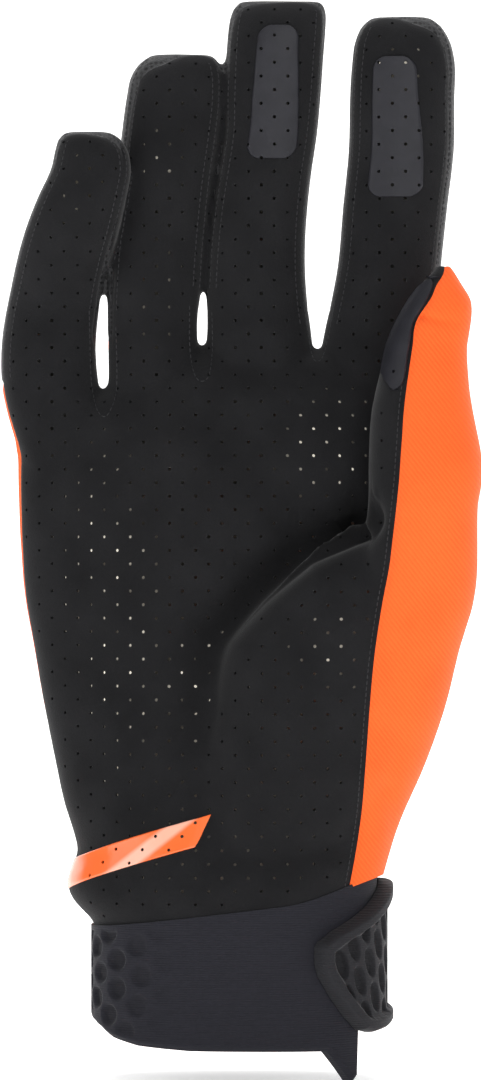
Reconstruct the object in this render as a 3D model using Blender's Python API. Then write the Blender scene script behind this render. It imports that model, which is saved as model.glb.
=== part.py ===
"""A right-hand off-road riding glove with its form as worn, palm side towards -Y.

Metres, +Z up along the fingers, +X towards the thumb. The origin is the middle of the
mouth of the cuff, where the wrist goes in. The skin is one hollow form, cut into its
panels along the seams, with the cuff, the closure and the grip patches fitted to it.
"""

import math
from collections import namedtuple

import bmesh
import bpy
import numpy as np

# The palm, whose sizes give those of the digits
PALM_WIDTH = 0.0960
PALM_LENGTH = 0.1240
PALM_DEPTH = 0.0394
TUBE_SQUARENESS = 2.3

# Cloth and gaps
WALL = 0.0015
SEAM_GAP = 0.0003
SEAM_FORWARD = 0.0035
PATCH_THICKNESS = 0.0006

# The wrist seam, which climbs towards the thumb
WRIST_SEAM_HEIGHT = 0.0306
WRIST_SEAM_TILT = 0.12
WRIST_SEAM_RISE = 0.0045
WRIST_RISE_START = 0.010
WRIST_RISE_RUN = 0.026

# Where the top of the hand drops towards the little finger
TOP_DROP = 0.0170
TOP_DROP_START = -0.009
TOP_DROP_RUN = 0.041
TOP_DROP_LIMIT = 1.2

# Cuff and closure tab
CUFF_WALL = 0.0025
CUFF_STEP = 6
TAB_FIELD = 0.0017
TAB_RIM = 0.0028
TAB_RIM_WIDTH = 0.0032
TAB_RIM_ROUND = 0.0007
TAB_RIM_FIT = 3
TAB_SEAM_CLEARANCE = 0.0008

# The front seam of the thumb runs to its own web with the palm
WEB_START = 0.8548 * PALM_LENGTH
WEB_END = 0.9919 * PALM_LENGTH
WEB_CUT_BELOW = 0.003
WEB_CUT_ABOVE = 0.002
KNUCKLE_SEAM_RISE = 0.006

# Cutters reach past what they cut: shares of the palm's width and of a digit's length
CUTTER_REACH = 0.7
CUTTER_OVERRUN = 1.06
WRIST_TRIM_STEPS = 96
SIDE_SEAM_STEPS = 14
FINGER_SEAM_STEPS = 16
THUMB_SEAM_STEPS = 40
WEB_STEPS = (10, 12)

# Sides and sections of the cavity in the palm, in the thumb and its base, and in a finger
PALM_CAVITY = (28, 12)
THUMB_CAVITY = (18, 9)
FINGER_CAVITY = (12, 9)

Section = namedtuple("Section", "along side wide forward deep")
Tube = namedtuple("Tube", "name root_x root_z length width depth reach around stations rows")

# Columns: share of the length, centre sideways and half width as shares of the width,
# centre forward as a share of the reach, and half depth as a share of the depth.
HAND_ROWS = (
    Section(-0.090, -0.014, 0.335, 0.00, 0.520),
    Section(0.000, -0.014, 0.335, 0.00, 0.520),
    Section(0.024, -0.020, 0.357, 0.40, 0.530),
    Section(0.048, -0.028, 0.372, 0.50, 0.527),
    Section(0.085, -0.025, 0.373, 0.40, 0.512),
    Section(0.112, -0.014, 0.366, 0.30, 0.503),
    Section(0.142, -0.017, 0.371, 0.20, 0.492),
    Section(0.190, -0.023, 0.388, 0.10, 0.475),
    Section(0.252, -0.028, 0.403, 0.00, 0.456),
    Section(0.362, -0.032, 0.430, -0.25, 0.425),
    Section(0.469, -0.032, 0.454, -0.50, 0.406),
    Section(0.546, -0.033, 0.471, -0.50, 0.393),
    Section(0.656, -0.031, 0.483, -0.50, 0.380),
    Section(0.795, -0.028, 0.491, -0.50, 0.362),
    Section(0.877, -0.026, 0.495, -0.40, 0.335),
    Section(0.934, -0.027, 0.495, -0.30, 0.292),
    Section(0.975, -0.033, 0.493, -0.30, 0.211),
    Section(1.000, -0.034, 0.477, -0.30, 0.099),
)
THENAR_ROWS = (
    Section(0.000, -0.40, 0.250, 0.10, 0.33),
    Section(0.092, -0.31, 0.340, 0.25, 0.40),
    Section(0.230, -0.18, 0.420, 0.35, 0.40),
    Section(0.385, -0.06, 0.464, 0.40, 0.45),
    Section(0.540, 0.025, 0.471, 0.43, 0.49),
    Section(0.690, 0.067, 0.478, 0.45, 0.51),
    Section(0.805, 0.147, 0.433, 0.48, 0.48),
    Section(0.897, 0.223, 0.366, 0.53, 0.42),
    Section(0.954, 0.277, 0.304, 0.58, 0.34),
    Section(1.000, 0.339, 0.214, 0.63, 0.23),
)
THUMB_ROWS = (
    Section(0.000, -0.80, 0.460, 0.09, 0.522),
    Section(0.101, -0.67, 0.496, 0.18, 0.565),
    Section(0.198, -0.48, 0.536, 0.31, 0.565),
    Section(0.296, -0.32, 0.560, 0.45, 0.565),
    Section(0.390, -0.19, 0.552, 0.59, 0.557),
    Section(0.463, -0.08, 0.560, 0.72, 0.539),
    Section(0.520, -0.02, 0.528, 0.82, 0.522),
    Section(0.564, 0.00, 0.504, 0.90, 0.509),
    Section(0.625, 0.022, 0.486, 1.00, 0.491),
    Section(0.657, 0.040, 0.504, 1.01, 0.488),
    Section(0.690, 0.040, 0.504, 1.01, 0.486),
    Section(0.722, 0.026, 0.482, 1.00, 0.472),
    Section(0.755, 0.012, 0.460, 1.00, 0.452),
    Section(0.791, 0.012, 0.424, 0.99, 0.430),
    Section(0.830, 0.028, 0.388, 0.99, 0.405),
    Section(0.869, 0.052, 0.356, 0.99, 0.380),
    Section(0.908, 0.116, 0.328, 1.00, 0.345),
    Section(0.947, 0.174, 0.262, 1.01, 0.285),
    Section(0.967, 0.176, 0.186, 1.01, 0.235),
    Section(0.986, 0.196, 0.105, 1.02, 0.160),
    Section(1.000, 0.200, 0.050, 1.02, 0.080),
)
INDEX_ROWS = (
    Section(-0.300, -0.02, 0.500, 0.00, 0.480),
    Section(0.040, 0.00, 0.540, 0.00, 0.500),
    Section(0.147, 0.047, 0.513, 0.02, 0.500),
    Section(0.255, 0.095, 0.496, 0.06, 0.495),
    Section(0.435, 0.151, 0.500, 0.20, 0.480),
    Section(0.615, 0.211, 0.504, 0.42, 0.470),
    Section(0.760, 0.216, 0.500, 0.64, 0.455),
    Section(0.867, 0.228, 0.491, 0.82, 0.420),
    Section(0.939, 0.216, 0.440, 0.93, 0.340),
    Section(0.982, 0.205, 0.350, 0.99, 0.220),
    Section(1.000, 0.200, 0.270, 1.00, 0.130),
)
MIDDLE_ROWS = (
    Section(-0.300, 0.00, 0.500, 0.00, 0.470),
    Section(0.037, -0.010, 0.550, 0.00, 0.500),
    Section(0.140, -0.027, 0.520, 0.02, 0.500),
    Section(0.244, -0.032, 0.500, 0.06, 0.490),
    Section(0.416, 0.009, 0.483, 0.19, 0.480),
    Section(0.520, 0.059, 0.475, 0.30, 0.475),
    Section(0.624, 0.114, 0.475, 0.43, 0.470),
    Section(0.728, 0.136, 0.488, 0.58, 0.460),
    Section(0.866, 0.164, 0.495, 0.81, 0.425),
    Section(0.935, 0.185, 0.493, 0.92, 0.350),
    Section(0.978, 0.205, 0.470, 0.98, 0.240),
    Section(1.000, 0.215, 0.415, 1.00, 0.140),
)
RING_ROWS = (
    Section(-0.320, 0.02, 0.460, 0.00, 0.460),
    Section(0.086, 0.007, 0.487, 0.00, 0.500),
    Section(0.214, 0.012, 0.490, 0.03, 0.500),
    Section(0.320, 0.030, 0.488, 0.09, 0.490),
    Section(0.449, 0.066, 0.485, 0.21, 0.485),
    Section(0.600, 0.112, 0.490, 0.40, 0.475),
    Section(0.750, 0.172, 0.497, 0.62, 0.460),
    Section(0.863, 0.215, 0.490, 0.81, 0.415),
    Section(0.940, 0.240, 0.455, 0.93, 0.330),
    Section(0.980, 0.270, 0.385, 0.98, 0.220),
    Section(1.000, 0.290, 0.300, 1.00, 0.130),
)
LITTLE_ROWS = (
    Section(-0.300, 0.130, 0.400, 0.00, 0.480),
    Section(0.074, -0.014, 0.500, 0.00, 0.500),
    Section(0.214, -0.020, 0.487, 0.01, 0.500),
    Section(0.353, 0.035, 0.483, 0.04, 0.500),
    Section(0.414, 0.070, 0.480, 0.17, 0.495),
    Section(0.493, 0.120, 0.480, 0.37, 0.490),
    Section(0.633, 0.230, 0.478, 0.68, 0.480),
    Section(0.759, 0.340, 0.450, 0.86, 0.460),
    Section(0.866, 0.430, 0.405, 0.94, 0.410),
    Section(0.940, 0.427, 0.360, 0.98, 0.330),
    Section(0.983, 0.405, 0.290, 1.00, 0.220),
    Section(1.000, 0.390, 0.220, 1.00, 0.130),
)


def sized(name, root_x, root_z, length, width, depth, reach, around, stations, rows):
    """A tube from shares of the palm: heights of its length, widths of its width, and
    depths of its depth."""
    return Tube(
        name,
        root_x * PALM_WIDTH,
        root_z * PALM_LENGTH,
        length * PALM_LENGTH,
        width * PALM_WIDTH,
        depth * PALM_DEPTH,
        reach * PALM_DEPTH,
        around,
        stations,
        rows,
    )


HAND = sized("hand", 0.0000, 0.2629, 1.0000, 1.0000, 1.0000, 0.0254, 40, 18, HAND_ROWS)
THENAR = sized("thenar", 0.1771, 0.2419, 0.7016, 0.5833, 0.8883, 0.5076, 28, 10, THENAR_ROWS)
THUMB = sized("thumb", 0.4167, 0.2903, 1.1169, 0.2604, 0.5838, 0.5635, 24, 19, THUMB_ROWS)
INDEX = sized("index", 0.3260, 1.2540, 0.6073, 0.2448, 0.4822, 0.1269, 20, 12, INDEX_ROWS)
MIDDLE = sized("middle", 0.0448, 1.2540, 0.6355, 0.2302, 0.4873, 0.1269, 20, 12, MIDDLE_ROWS)
RING = sized("ring", -0.2021, 1.2258, 0.5677, 0.2302, 0.4721, 0.1269, 20, 12, RING_ROWS)
LITTLE = sized("little", -0.4427, 1.1774, 0.4710, 0.2281, 0.4264, 0.3680, 20, 12, LITTLE_ROWS)
FINGERS = (INDEX, MIDDLE, RING, LITTLE)
TUBES = (HAND, THENAR, THUMB) + FINGERS

# Columns: degrees round the wrist from the middle of the palm side, and height of the
# cuff's mouth there as a share of the wrist seam's height. The tail hangs at the thumb.
Mouth = namedtuple("Mouth", "turn height")
CUFF_MOUTH = (
    Mouth(-180, 0.07),
    Mouth(-130, 0.13),
    Mouth(-90, 0.21),
    Mouth(-70, 0.16),
    Mouth(-57, 0.09),
    Mouth(-40, 0.04),
    Mouth(-15, 0.01),
    Mouth(38, 0.00),
    Mouth(46, -0.12),
    Mouth(54, -0.235),
    Mouth(56.2, -0.22),
    Mouth(57.5, 0.15),
    Mouth(90, 0.17),
    Mouth(130, 0.11),
    Mouth(180, 0.07),
)

# Columns: degrees round the wrist, lower and upper edge as shares of the wrist seam's
# height, and how much of the recessed field shows there.
TabRow = namedtuple("TabRow", "turn low high field")
TAB_ROWS = (
    TabRow(30.0, 0.64, 0.76, 0.0),
    TabRow(31.5, 0.55, 0.80, 0.0),
    TabRow(34.7, 0.47, 0.83, 0.0),
    TabRow(38.0, 0.39, 0.87, 1.0),
    TabRow(44.9, 0.26, 0.92, 1.0),
    TabRow(53.6, 0.15, 0.98, 1.0),
    TabRow(62.0, 0.125, 1.04, 1.0),
    TabRow(73.0, 0.14, 1.12, 1.0),
    TabRow(84.0, 0.17, 1.19, 1.0),
    TabRow(96.0, 0.19, 1.24, 1.0),
    TabRow(110.0, 0.21, 1.20, 1.0),
    TabRow(125.0, 0.23, 1.12, 1.0),
    TabRow(140.0, 0.25, 1.00, 1.0),
    TabRow(155.0, 0.27, 0.96, 1.0),
    TabRow(159.0, 0.28, 0.95, 0.0),
    TabRow(164.0, 0.30, 0.93, 0.0),
)

# Columns: share of the tube's length, and the left and right edges from -1 to 1.
PatchRow = namedtuple("PatchRow", "along left right")
MIDDLE_PATCH = (
    PatchRow(0.549, -0.30, 0.48),
    PatchRow(0.560, -0.43, 0.58),
    PatchRow(0.580, -0.45, 0.60),
    PatchRow(0.900, -0.37, 0.44),
    PatchRow(0.917, -0.35, 0.42),
    PatchRow(0.926, -0.24, 0.31),
)
INDEX_PATCH = (
    PatchRow(0.461, -0.42, 0.32),
    PatchRow(0.472, -0.55, 0.44),
    PatchRow(0.492, -0.57, 0.46),
    PatchRow(0.845, -0.59, 0.22),
    PatchRow(0.865, -0.58, 0.19),
    PatchRow(0.876, -0.46, 0.07),
)
THUMB_PATCH = (
    PatchRow(0.798, -0.50, -0.44),
    PatchRow(0.808, -0.80, -0.43),
    PatchRow(0.828, -0.97, -0.43),
    PatchRow(0.869, -1.00, -0.44),
    PatchRow(0.908, -1.00, -0.57),
    PatchRow(0.928, -1.00, -0.50),
    PatchRow(0.947, -1.00, -0.42),
    PatchRow(0.967, -0.97, -0.36),
    PatchRow(0.980, -0.80, -0.28),
)

# How much more the stripe climbs towards its tip than at its outer end
STRIPE_CURVE = 1.3
STRIPE_SHARE = 0.1
NEARING_STEPS = 12

# Columns: share of the stripe's height, how far round its left end is in degrees, its
# right end from -1 to 1 across the hand, and its height above the wrist seam as shares
# of that seam's height at the left and right ends.
StripeRow = namedtuple("StripeRow", "across turn right rise_left rise_right")
STRIPE_ROWS = (
    StripeRow(0.00, -96, -0.247, 0.29, 0.53),
    StripeRow(0.35, -98, -0.205, 0.38, 0.60),
    StripeRow(1.00, -96, -0.123, 0.51, 0.75),
)

# Columns: share of the hand's length, and how far forward its side seam is, as a share
# of the fingers' seam.
SideSeam = namedtuple("SideSeam", "along forward")
SIDE_SEAM = (
    SideSeam(-0.20, 0.20),
    SideSeam(0.00, 0.20),
    SideSeam(0.50, 0.30),
    SideSeam(0.66, 0.60),
    SideSeam(0.84, 1.00),
    SideSeam(1.10, 1.00),
)

# Columns: share of the thumb's length, and where its front seam crosses the section,
# from -1 at its left edge to 1 at its right edge.
ThumbSeam = namedtuple("ThumbSeam", "along across")
THUMB_SEAM = (
    ThumbSeam(-0.15, 0.42),
    ThumbSeam(0.000, 0.37),
    ThumbSeam(0.101, 0.27),
    ThumbSeam(0.198, -0.02),
    ThumbSeam(0.296, -0.24),
    ThumbSeam(0.390, -0.39),
    ThumbSeam(0.463, -0.47),
    ThumbSeam(0.625, -0.50),
    ThumbSeam(0.690, -0.46),
    ThumbSeam(0.755, -0.39),
    ThumbSeam(0.830, -0.37),
    ThumbSeam(0.869, -0.38),
    ThumbSeam(0.908, -0.50),
    ThumbSeam(0.947, -0.33),
    ThumbSeam(0.967, -0.22),
    ThumbSeam(0.986, 0.00),
    ThumbSeam(1.040, 0.20),
)


def through(rows, column, at):
    """One column of a table at a share, on a smooth curve through its rows."""
    keys = np.array([row[0] for row in rows])
    values = np.array([getattr(row, column) for row in rows])
    slopes = np.gradient(values, keys)
    at = np.clip(at, keys[0], keys[-1])
    i = np.clip(np.searchsorted(keys, at) - 1, 0, len(keys) - 2)
    step = keys[i + 1] - keys[i]
    t = (at - keys[i]) / step
    start = values[i] * (2 * t**3 - 3 * t**2 + 1) + slopes[i] * step * (t**3 - 2 * t**2 + t)
    return start + values[i + 1] * (3 * t**2 - 2 * t**3) + slopes[i + 1] * step * (t**3 - t**2)


def ease(value, start, end):
    """0 before start and 1 after end, with a smooth step between them."""
    t = np.clip((value - start) / (end - start), 0, 1)
    return t * t * (3 - 2 * t)


def section_of(tube, along):
    """Centre and half sizes of a tube's section: x, y, half width, half depth."""
    x = tube.root_x + through(tube.rows, "side", along) * tube.width
    y = -through(tube.rows, "forward", along) * tube.reach
    return (
        x,
        y,
        through(tube.rows, "wide", along) * tube.width,
        through(tube.rows, "deep", along) * tube.depth,
    )


def signed_power(value, power):
    return np.sign(value) * np.abs(value) ** power


def wrist_seam_z(x):
    """Height of the wrist seam: a slope with a rise towards the thumb."""
    rise = WRIST_SEAM_RISE * ease(x, WRIST_RISE_START, WRIST_RISE_START + WRIST_RISE_RUN)
    return WRIST_SEAM_HEIGHT + WRIST_SEAM_TILT * x + rise


def hand_height(x, along):
    """Height of a hand row: the wrist seam at its foot, and the finger webs at its top."""
    level = HAND.root_z + HAND.length * along
    foot = (wrist_seam_z(x) - WRIST_SEAM_HEIGHT) * (1 - ease(along, 0.0, 0.35))
    drop = TOP_DROP * np.clip((TOP_DROP_START - x) / TOP_DROP_RUN, 0, TOP_DROP_LIMIT)
    return level + foot - drop * ease(along, 0.55, 1.0)


def surface(tube, along, angle, proud=0.0):
    """Points on a tube's outer face, at shares of its length and angles round it."""
    x, y, wide, deep = section_of(tube, along)
    power = 2 / TUBE_SQUARENESS
    px = x + (wide + proud) * signed_power(np.cos(angle), power)
    py = y + (deep + proud) * signed_power(np.sin(angle), power)
    pz = hand_height(px, along) if tube is HAND else tube.root_z + tube.length * along + 0 * px
    return np.stack([px, py, pz], axis=-1)


def mesh_object(name, verts, faces):
    """A mesh object with its faces as they are given."""
    mesh = bpy.data.meshes.new(name)
    mesh.from_pydata([tuple(v) for v in verts], [], faces)
    obj = bpy.data.objects.new(name, mesh)
    bpy.context.scene.collection.objects.link(obj)
    return obj


def closed_object(name, verts, faces):
    """A mesh object whose faces are turned to point outwards."""
    obj = mesh_object(name, verts, faces)
    bm = bmesh.new()
    bm.from_mesh(obj.data)
    bmesh.ops.recalc_face_normals(bm, faces=bm.faces)
    bm.to_mesh(obj.data)
    bm.free()
    return obj


def tube_solid(tube, inset, around, stations):
    """A closed solid of a tube's sections, made smaller all round by the inset, and
    drawn out below by twice as much."""
    first = tube.rows[0].along
    last = tube.rows[-1].along - inset / tube.length
    shares = first + (last - first) * (1 - np.cos(np.linspace(0, math.pi, stations))) / 2
    if tube is HAND and not inset:
        shares = np.array([row.along for row in tube.rows])
    angles = np.arange(around) * 2 * math.pi / around
    rings = np.array([surface(tube, share, angles, -inset) for share in shares])
    rings[0, :, 2] -= 2 * inset
    verts = rings.reshape(-1, 3)
    faces = [
        (r * around + k, r * around + (k + 1) % around,
         (r + 1) * around + (k + 1) % around, (r + 1) * around + k)
        for r in range(len(shares) - 1)
        for k in range(around)
    ]
    faces.append(tuple(range(around)))
    faces.append(tuple((len(shares) - 1) * around + k for k in range(around)))
    return closed_object(tube.name, verts, faces)


def slab(name, grid, across):
    """A thin closed solid, one seam gap thick, about a grid of points."""
    grid = np.asarray(grid, float)
    rows, columns = grid.shape[:2]
    half = np.asarray(across, float) * SEAM_GAP / 2
    return panel(name, grid - half, grid + half, rows, columns)


def panel(name, outer, inner, rows, columns):
    """A closed sheet between two grids of the same size."""
    verts = np.concatenate([outer.reshape(-1, 3), inner.reshape(-1, 3)])
    shift = rows * columns
    faces = []
    for r in range(rows - 1):
        for c in range(columns - 1):
            a, b = r * columns + c, r * columns + c + 1
            d, e = a + columns, b + columns
            faces.append((a, b, e, d))
            faces.append((a + shift, d + shift, e + shift, b + shift))
    rim = [c for c in range(columns)]
    rim += [r * columns + columns - 1 for r in range(1, rows)]
    rim += [(rows - 1) * columns + c for c in range(columns - 2, -1, -1)]
    rim += [r * columns for r in range(rows - 2, 0, -1)]
    for k, a in enumerate(rim):
        b = rim[(k + 1) % len(rim)]
        faces.append((a, a + shift, b + shift, b))
    return closed_object(name, verts, faces)


def combine(target, other, operation):
    """Joins or cuts the target with the other solid, which is used up.

    Both are closed. The exact solver leaves open edges where three tubes meet at a web,
    so the manifold one is used.
    """
    modifier = target.modifiers.new(operation, "BOOLEAN")
    modifier.operation = operation
    modifier.solver = "MANIFOLD"
    modifier.object = other
    graph = bpy.context.evaluated_depsgraph_get()
    mesh = bpy.data.meshes.new_from_object(target.evaluated_get(graph))
    target.modifiers.clear()
    target.data = mesh
    bpy.data.objects.remove(other)


def hollow_skin():
    """The whole hand, thumb and fingers as one hollow wall, open at the wrist."""
    skin = tube_solid(HAND, 0.0, HAND.around, HAND.stations)
    for tube in TUBES[1:]:
        combine(skin, tube_solid(tube, 0.0, tube.around, tube.stations), "UNION")
    cavity = tube_solid(HAND, WALL, *PALM_CAVITY)
    for tube in TUBES[1:]:
        sides = FINGER_CAVITY if tube in FINGERS else THUMB_CAVITY
        combine(cavity, tube_solid(tube, WALL, *sides), "UNION")
    combine(skin, cavity, "DIFFERENCE")
    combine(skin, wrist_trim(), "DIFFERENCE")
    return skin


def wrist_trim():
    """A solid that takes away all that lies below the wrist seam."""
    xs = np.linspace(-CUTTER_REACH, CUTTER_REACH, WRIST_TRIM_STEPS + 1) * HAND.width
    top = [[(x, y, wrist_seam_z(x)) for y in (-HAND.width, HAND.width)] for x in xs]
    low = [[(x, y, 0.0) for y in (-HAND.width, HAND.width)] for x in xs]
    return panel("wrist_trim", np.array(top), np.array(low), len(xs), 2)


# Seams


def hand_seam_y(z):
    along = (z - HAND.root_z) / HAND.length
    return -SEAM_FORWARD * through(SIDE_SEAM, "forward", along)


def thumb_seam_x(z):
    along = (z - THUMB.root_z) / THUMB.length
    x, _, wide, _ = section_of(THUMB, along)
    return x + through(THUMB_SEAM, "across", along) * wide


def face_y(tube, x, z, side):
    """How far back (side 1) or forward (side -1) a tube reaches at a place."""
    cx, cy, wide, deep = section_of(tube, (z - tube.root_z) / tube.length)
    share = np.clip(np.abs(x - cx) / wide, 0, 0.97)
    return cy + side * deep * (1 - share**TUBE_SQUARENESS) ** (1 / TUBE_SQUARENESS)


def thumb_rear_y(x, z):
    """The back limit of the thumb panel: the side seam below the web, and above it the
    middle of the gap between the thumb and the palm."""
    gap = (face_y(THUMB, x, z, 1) + face_y(HAND, x, z, -1)) / 2
    share = ease(z, WEB_START, WEB_END)
    return hand_seam_y(z) * (1 - share) + gap * share


def side_seam_cuts():
    """Slabs that part the palm side from the back of the hand and fingers."""
    top = HAND.root_z + HAND.length + KNUCKLE_SEAM_RISE / 4
    heights = np.linspace(0.0, top, SIDE_SEAM_STEPS)
    reach = HAND.width
    grid = [[(side * reach, hand_seam_y(z), z) for side in (-1, 1)] for z in heights]
    yield slab("hand_seam_cut", grid, (0, 1, 0))
    for tube in FINGERS:
        lowest = hand_height(tube.root_x, 1.0) - KNUCKLE_SEAM_RISE - tube.root_z
        grid = []
        for share in np.linspace(lowest / tube.length, CUTTER_OVERRUN, FINGER_SEAM_STEPS):
            x, y, wide, _ = section_of(tube, share)
            wide = wide + SEAM_GAP / 2
            z = tube.root_z + tube.length * share
            grid.append([(x + side * wide, y - SEAM_FORWARD, z) for side in (-1, 1)])
        yield slab(tube.name + "_seam_cut", grid, (0, 1, 0))


def knuckle_cuts():
    """Slabs that part each finger's back from the back of the hand."""
    for tube in FINGERS:
        z = hand_height(tube.root_x, 1.0) + KNUCKLE_SEAM_RISE
        x, y, wide, deep = section_of(tube, (z - tube.root_z) / tube.length)
        wide = wide + SEAM_GAP / 2
        ends = (y - SEAM_FORWARD, y + 2 * deep)
        grid = [[(x + side * wide, end, z) for side in (-1, 1)] for end in ends]
        yield slab(tube.name + "_knuckle_cut", grid, (0, 0, 1))


def thumb_cuts():
    """Slabs that part the thumb's back from its palm side, and from the palm at the web."""
    front = -2 * (THUMB.reach + THUMB.depth)
    top = THUMB.root_z + THUMB.length * CUTTER_OVERRUN
    heights = np.linspace(0.0, top, THUMB_SEAM_STEPS)
    grid = []
    for z in heights:
        x = thumb_seam_x(z)
        grid.append([(x, front, z), (x, thumb_rear_y(x, z) + SEAM_GAP / 3, z)])
    yield slab("thumb_seam_cut", grid, (1, 0, 0))
    grid = []
    lines, columns = WEB_STEPS
    for z in np.linspace(WEB_START - WEB_CUT_BELOW, WEB_END + WEB_CUT_ABOVE, lines):
        start = thumb_seam_x(z) - SEAM_GAP / 2
        xs = np.linspace(start, HAND.width * CUTTER_REACH, columns)
        grid.append([(x, thumb_rear_y(x, z), z) for x in xs])
    yield slab("web_cut", grid, (0, 1, 0))


def loose_parts(obj):
    """The separate bodies of an object, each as its own vertices and faces."""
    bm = bmesh.new()
    bm.from_mesh(obj.data)
    seen = set()
    parts = []
    for start in bm.verts:
        if start.index in seen:
            continue
        stack = [start]
        seen.add(start.index)
        members = []
        while stack:
            vert = stack.pop()
            members.append(vert)
            for edge in vert.link_edges:
                other = edge.other_vert(vert)
                if other.index not in seen:
                    seen.add(other.index)
                    stack.append(other)
        numbers = {vert.index: k for k, vert in enumerate(members)}
        faces = {face for vert in members for face in vert.link_faces}
        ordered = sorted(faces, key=lambda face: face.index)
        corners = [[numbers[vert.index] for vert in face.verts] for face in ordered]
        parts.append(([tuple(vert.co) for vert in members], corners))
    bm.free()
    return parts


def nearest_part(parts, place):
    """The body that comes closest to a place."""
    return min(parts, key=lambda part: min(math.dist(v, place) for v in part[0]))


def skin_panels():
    """Cuts the skin along its seams into its named panels."""
    skin = hollow_skin()
    for cuts in (side_seam_cuts(), knuckle_cuts(), thumb_cuts()):
        for cut in cuts:
            combine(skin, cut, "DIFFERENCE")
    parts = loose_parts(skin)
    bpy.data.objects.remove(skin)
    back = math.pi / 2
    places = {
        "palm_panel": surface(HAND, 0.5, -back),
        "hand_back_panel": surface(HAND, 0.5, back),
        "thumb_panel": surface(THUMB, 0.6, 0.0),
    }
    for tube in FINGERS:
        places[tube.name + "_back_panel"] = surface(tube, 0.6, back)
    for name, place in places.items():
        mesh_object(name, *nearest_part(parts, place))


# Trims


def edge_turn(across):
    """The angle from the front of a section to a place from -1 to 1 across it."""
    across = np.clip(across, -1, 1)
    return np.arcsin(signed_power(across, TUBE_SQUARENESS / 2))


def grip_patch(tube, rows, columns, lines):
    """A thin sheet that lies on the front of a tube, with rounded corners."""
    keys = [row.along for row in rows]
    shares = sorted(set(keys) | set(np.linspace(keys[1], keys[-2], lines)))
    lefts = np.interp(shares, keys, [row.left for row in rows])
    rights = np.interp(shares, keys, [row.right for row in rows])
    faces = []
    for proud in (SEAM_GAP, SEAM_GAP + PATCH_THICKNESS):
        grid = []
        for share, left, right in zip(shares, lefts, rights):
            turns = np.linspace(edge_turn(left), edge_turn(right), columns)
            grid.append(surface(tube, share, turns - math.pi / 2, proud))
        faces.append(np.array(grid))
    return panel(tube.name + "_grip_patch", faces[1], faces[0], len(shares), columns)


def hand_share(x, z):
    """The share of the hand's length at a place, found by nearing it step by step."""
    along = np.zeros_like(x)
    for _ in range(NEARING_STEPS):
        along = along + (z - hand_height(x, along)) / HAND.length
    return along


def accent_stripe(columns):
    """A thin tapered stripe across the heel of the palm, turned in at the outer edge."""
    faces = []
    for proud in (SEAM_GAP, SEAM_GAP + PATCH_THICKNESS):
        rows = []
        for row in STRIPE_ROWS:
            turns = np.linspace(math.radians(row.turn), edge_turn(row.right), columns)
            share = np.linspace(0, 1, columns) ** STRIPE_CURVE
            rise = row.rise_left + (row.rise_right - row.rise_left) * share
            points = []
            for turn, lift in zip(turns, rise):
                x = surface(HAND, STRIPE_SHARE, turn - math.pi / 2)[0]
                z = wrist_seam_z(x) + lift * WRIST_SEAM_HEIGHT
                along = hand_share(x, z)
                points.append(surface(HAND, along, turn - math.pi / 2, proud))
            rows.append(points)
        faces.append(np.array(rows))
    return panel("accent_stripe", faces[1], faces[0], len(STRIPE_ROWS), columns)


# Cuff and closure


def wrist_point(turn, z, proud):
    """A point on the cuff's outer face, at an angle from the front and a height."""
    x, _, wide, deep = section_of(HAND, HAND_ROWS[0].along)
    power = 2 / TUBE_SQUARENESS
    x = x + (wide + proud) * signed_power(math.sin(turn), power)
    return (x, -(deep + proud) * signed_power(math.cos(turn), power), z)


def cuff(levels):
    """A padded tube with a shaped mouth, up to the wrist seam."""
    turns = sorted(set(range(-180, 180, CUFF_STEP)) | {row.turn for row in CUFF_MOUTH[1:-1]})
    keys = [row.turn for row in CUFF_MOUTH]
    heights = [row.height * WRIST_SEAM_HEIGHT for row in CUFF_MOUTH]
    rings = []
    for proud in (0.0, -CUFF_WALL):
        for share in np.linspace(0, 1, levels):
            ring = []
            for degrees in turns:
                turn = math.radians(degrees)
                x = wrist_point(turn, 0.0, proud)[0]
                low = np.interp(degrees, keys, heights)
                high = wrist_seam_z(x) - SEAM_GAP
                ring.append(wrist_point(turn, low + (high - low) * share, proud))
            rings.append(ring)
    outer = rings[:levels]
    loops = outer + rings[levels:][::-1]
    count = len(turns)
    verts = [point for loop in loops for point in loop]
    total = len(loops)
    faces = [
        (r * count + k, r * count + (k + 1) % count,
         (r + 1) % total * count + (k + 1) % count, (r + 1) % total * count + k)
        for r in range(total)
        for k in range(count)
    ]
    return closed_object("cuff", verts, faces)


def tab_levels(low, high, field):
    """Heights across the tab, and its thickness at each, with a raised rim."""
    size = min(1.0, (high - low) / (TAB_RIM_FIT * TAB_RIM_WIDTH))
    steps = [0.0, TAB_RIM_ROUND, TAB_RIM_WIDTH - TAB_RIM_ROUND, TAB_RIM_WIDTH]
    thick = [TAB_FIELD, TAB_RIM, TAB_RIM]
    middle = TAB_RIM + (TAB_FIELD - TAB_RIM) * field
    heights = [low + step * size for step in steps] + [(low + high) / 2]
    heights += [high - step * size for step in reversed(steps)]
    return heights, thick + [middle, middle, middle] + thick[::-1]


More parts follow.
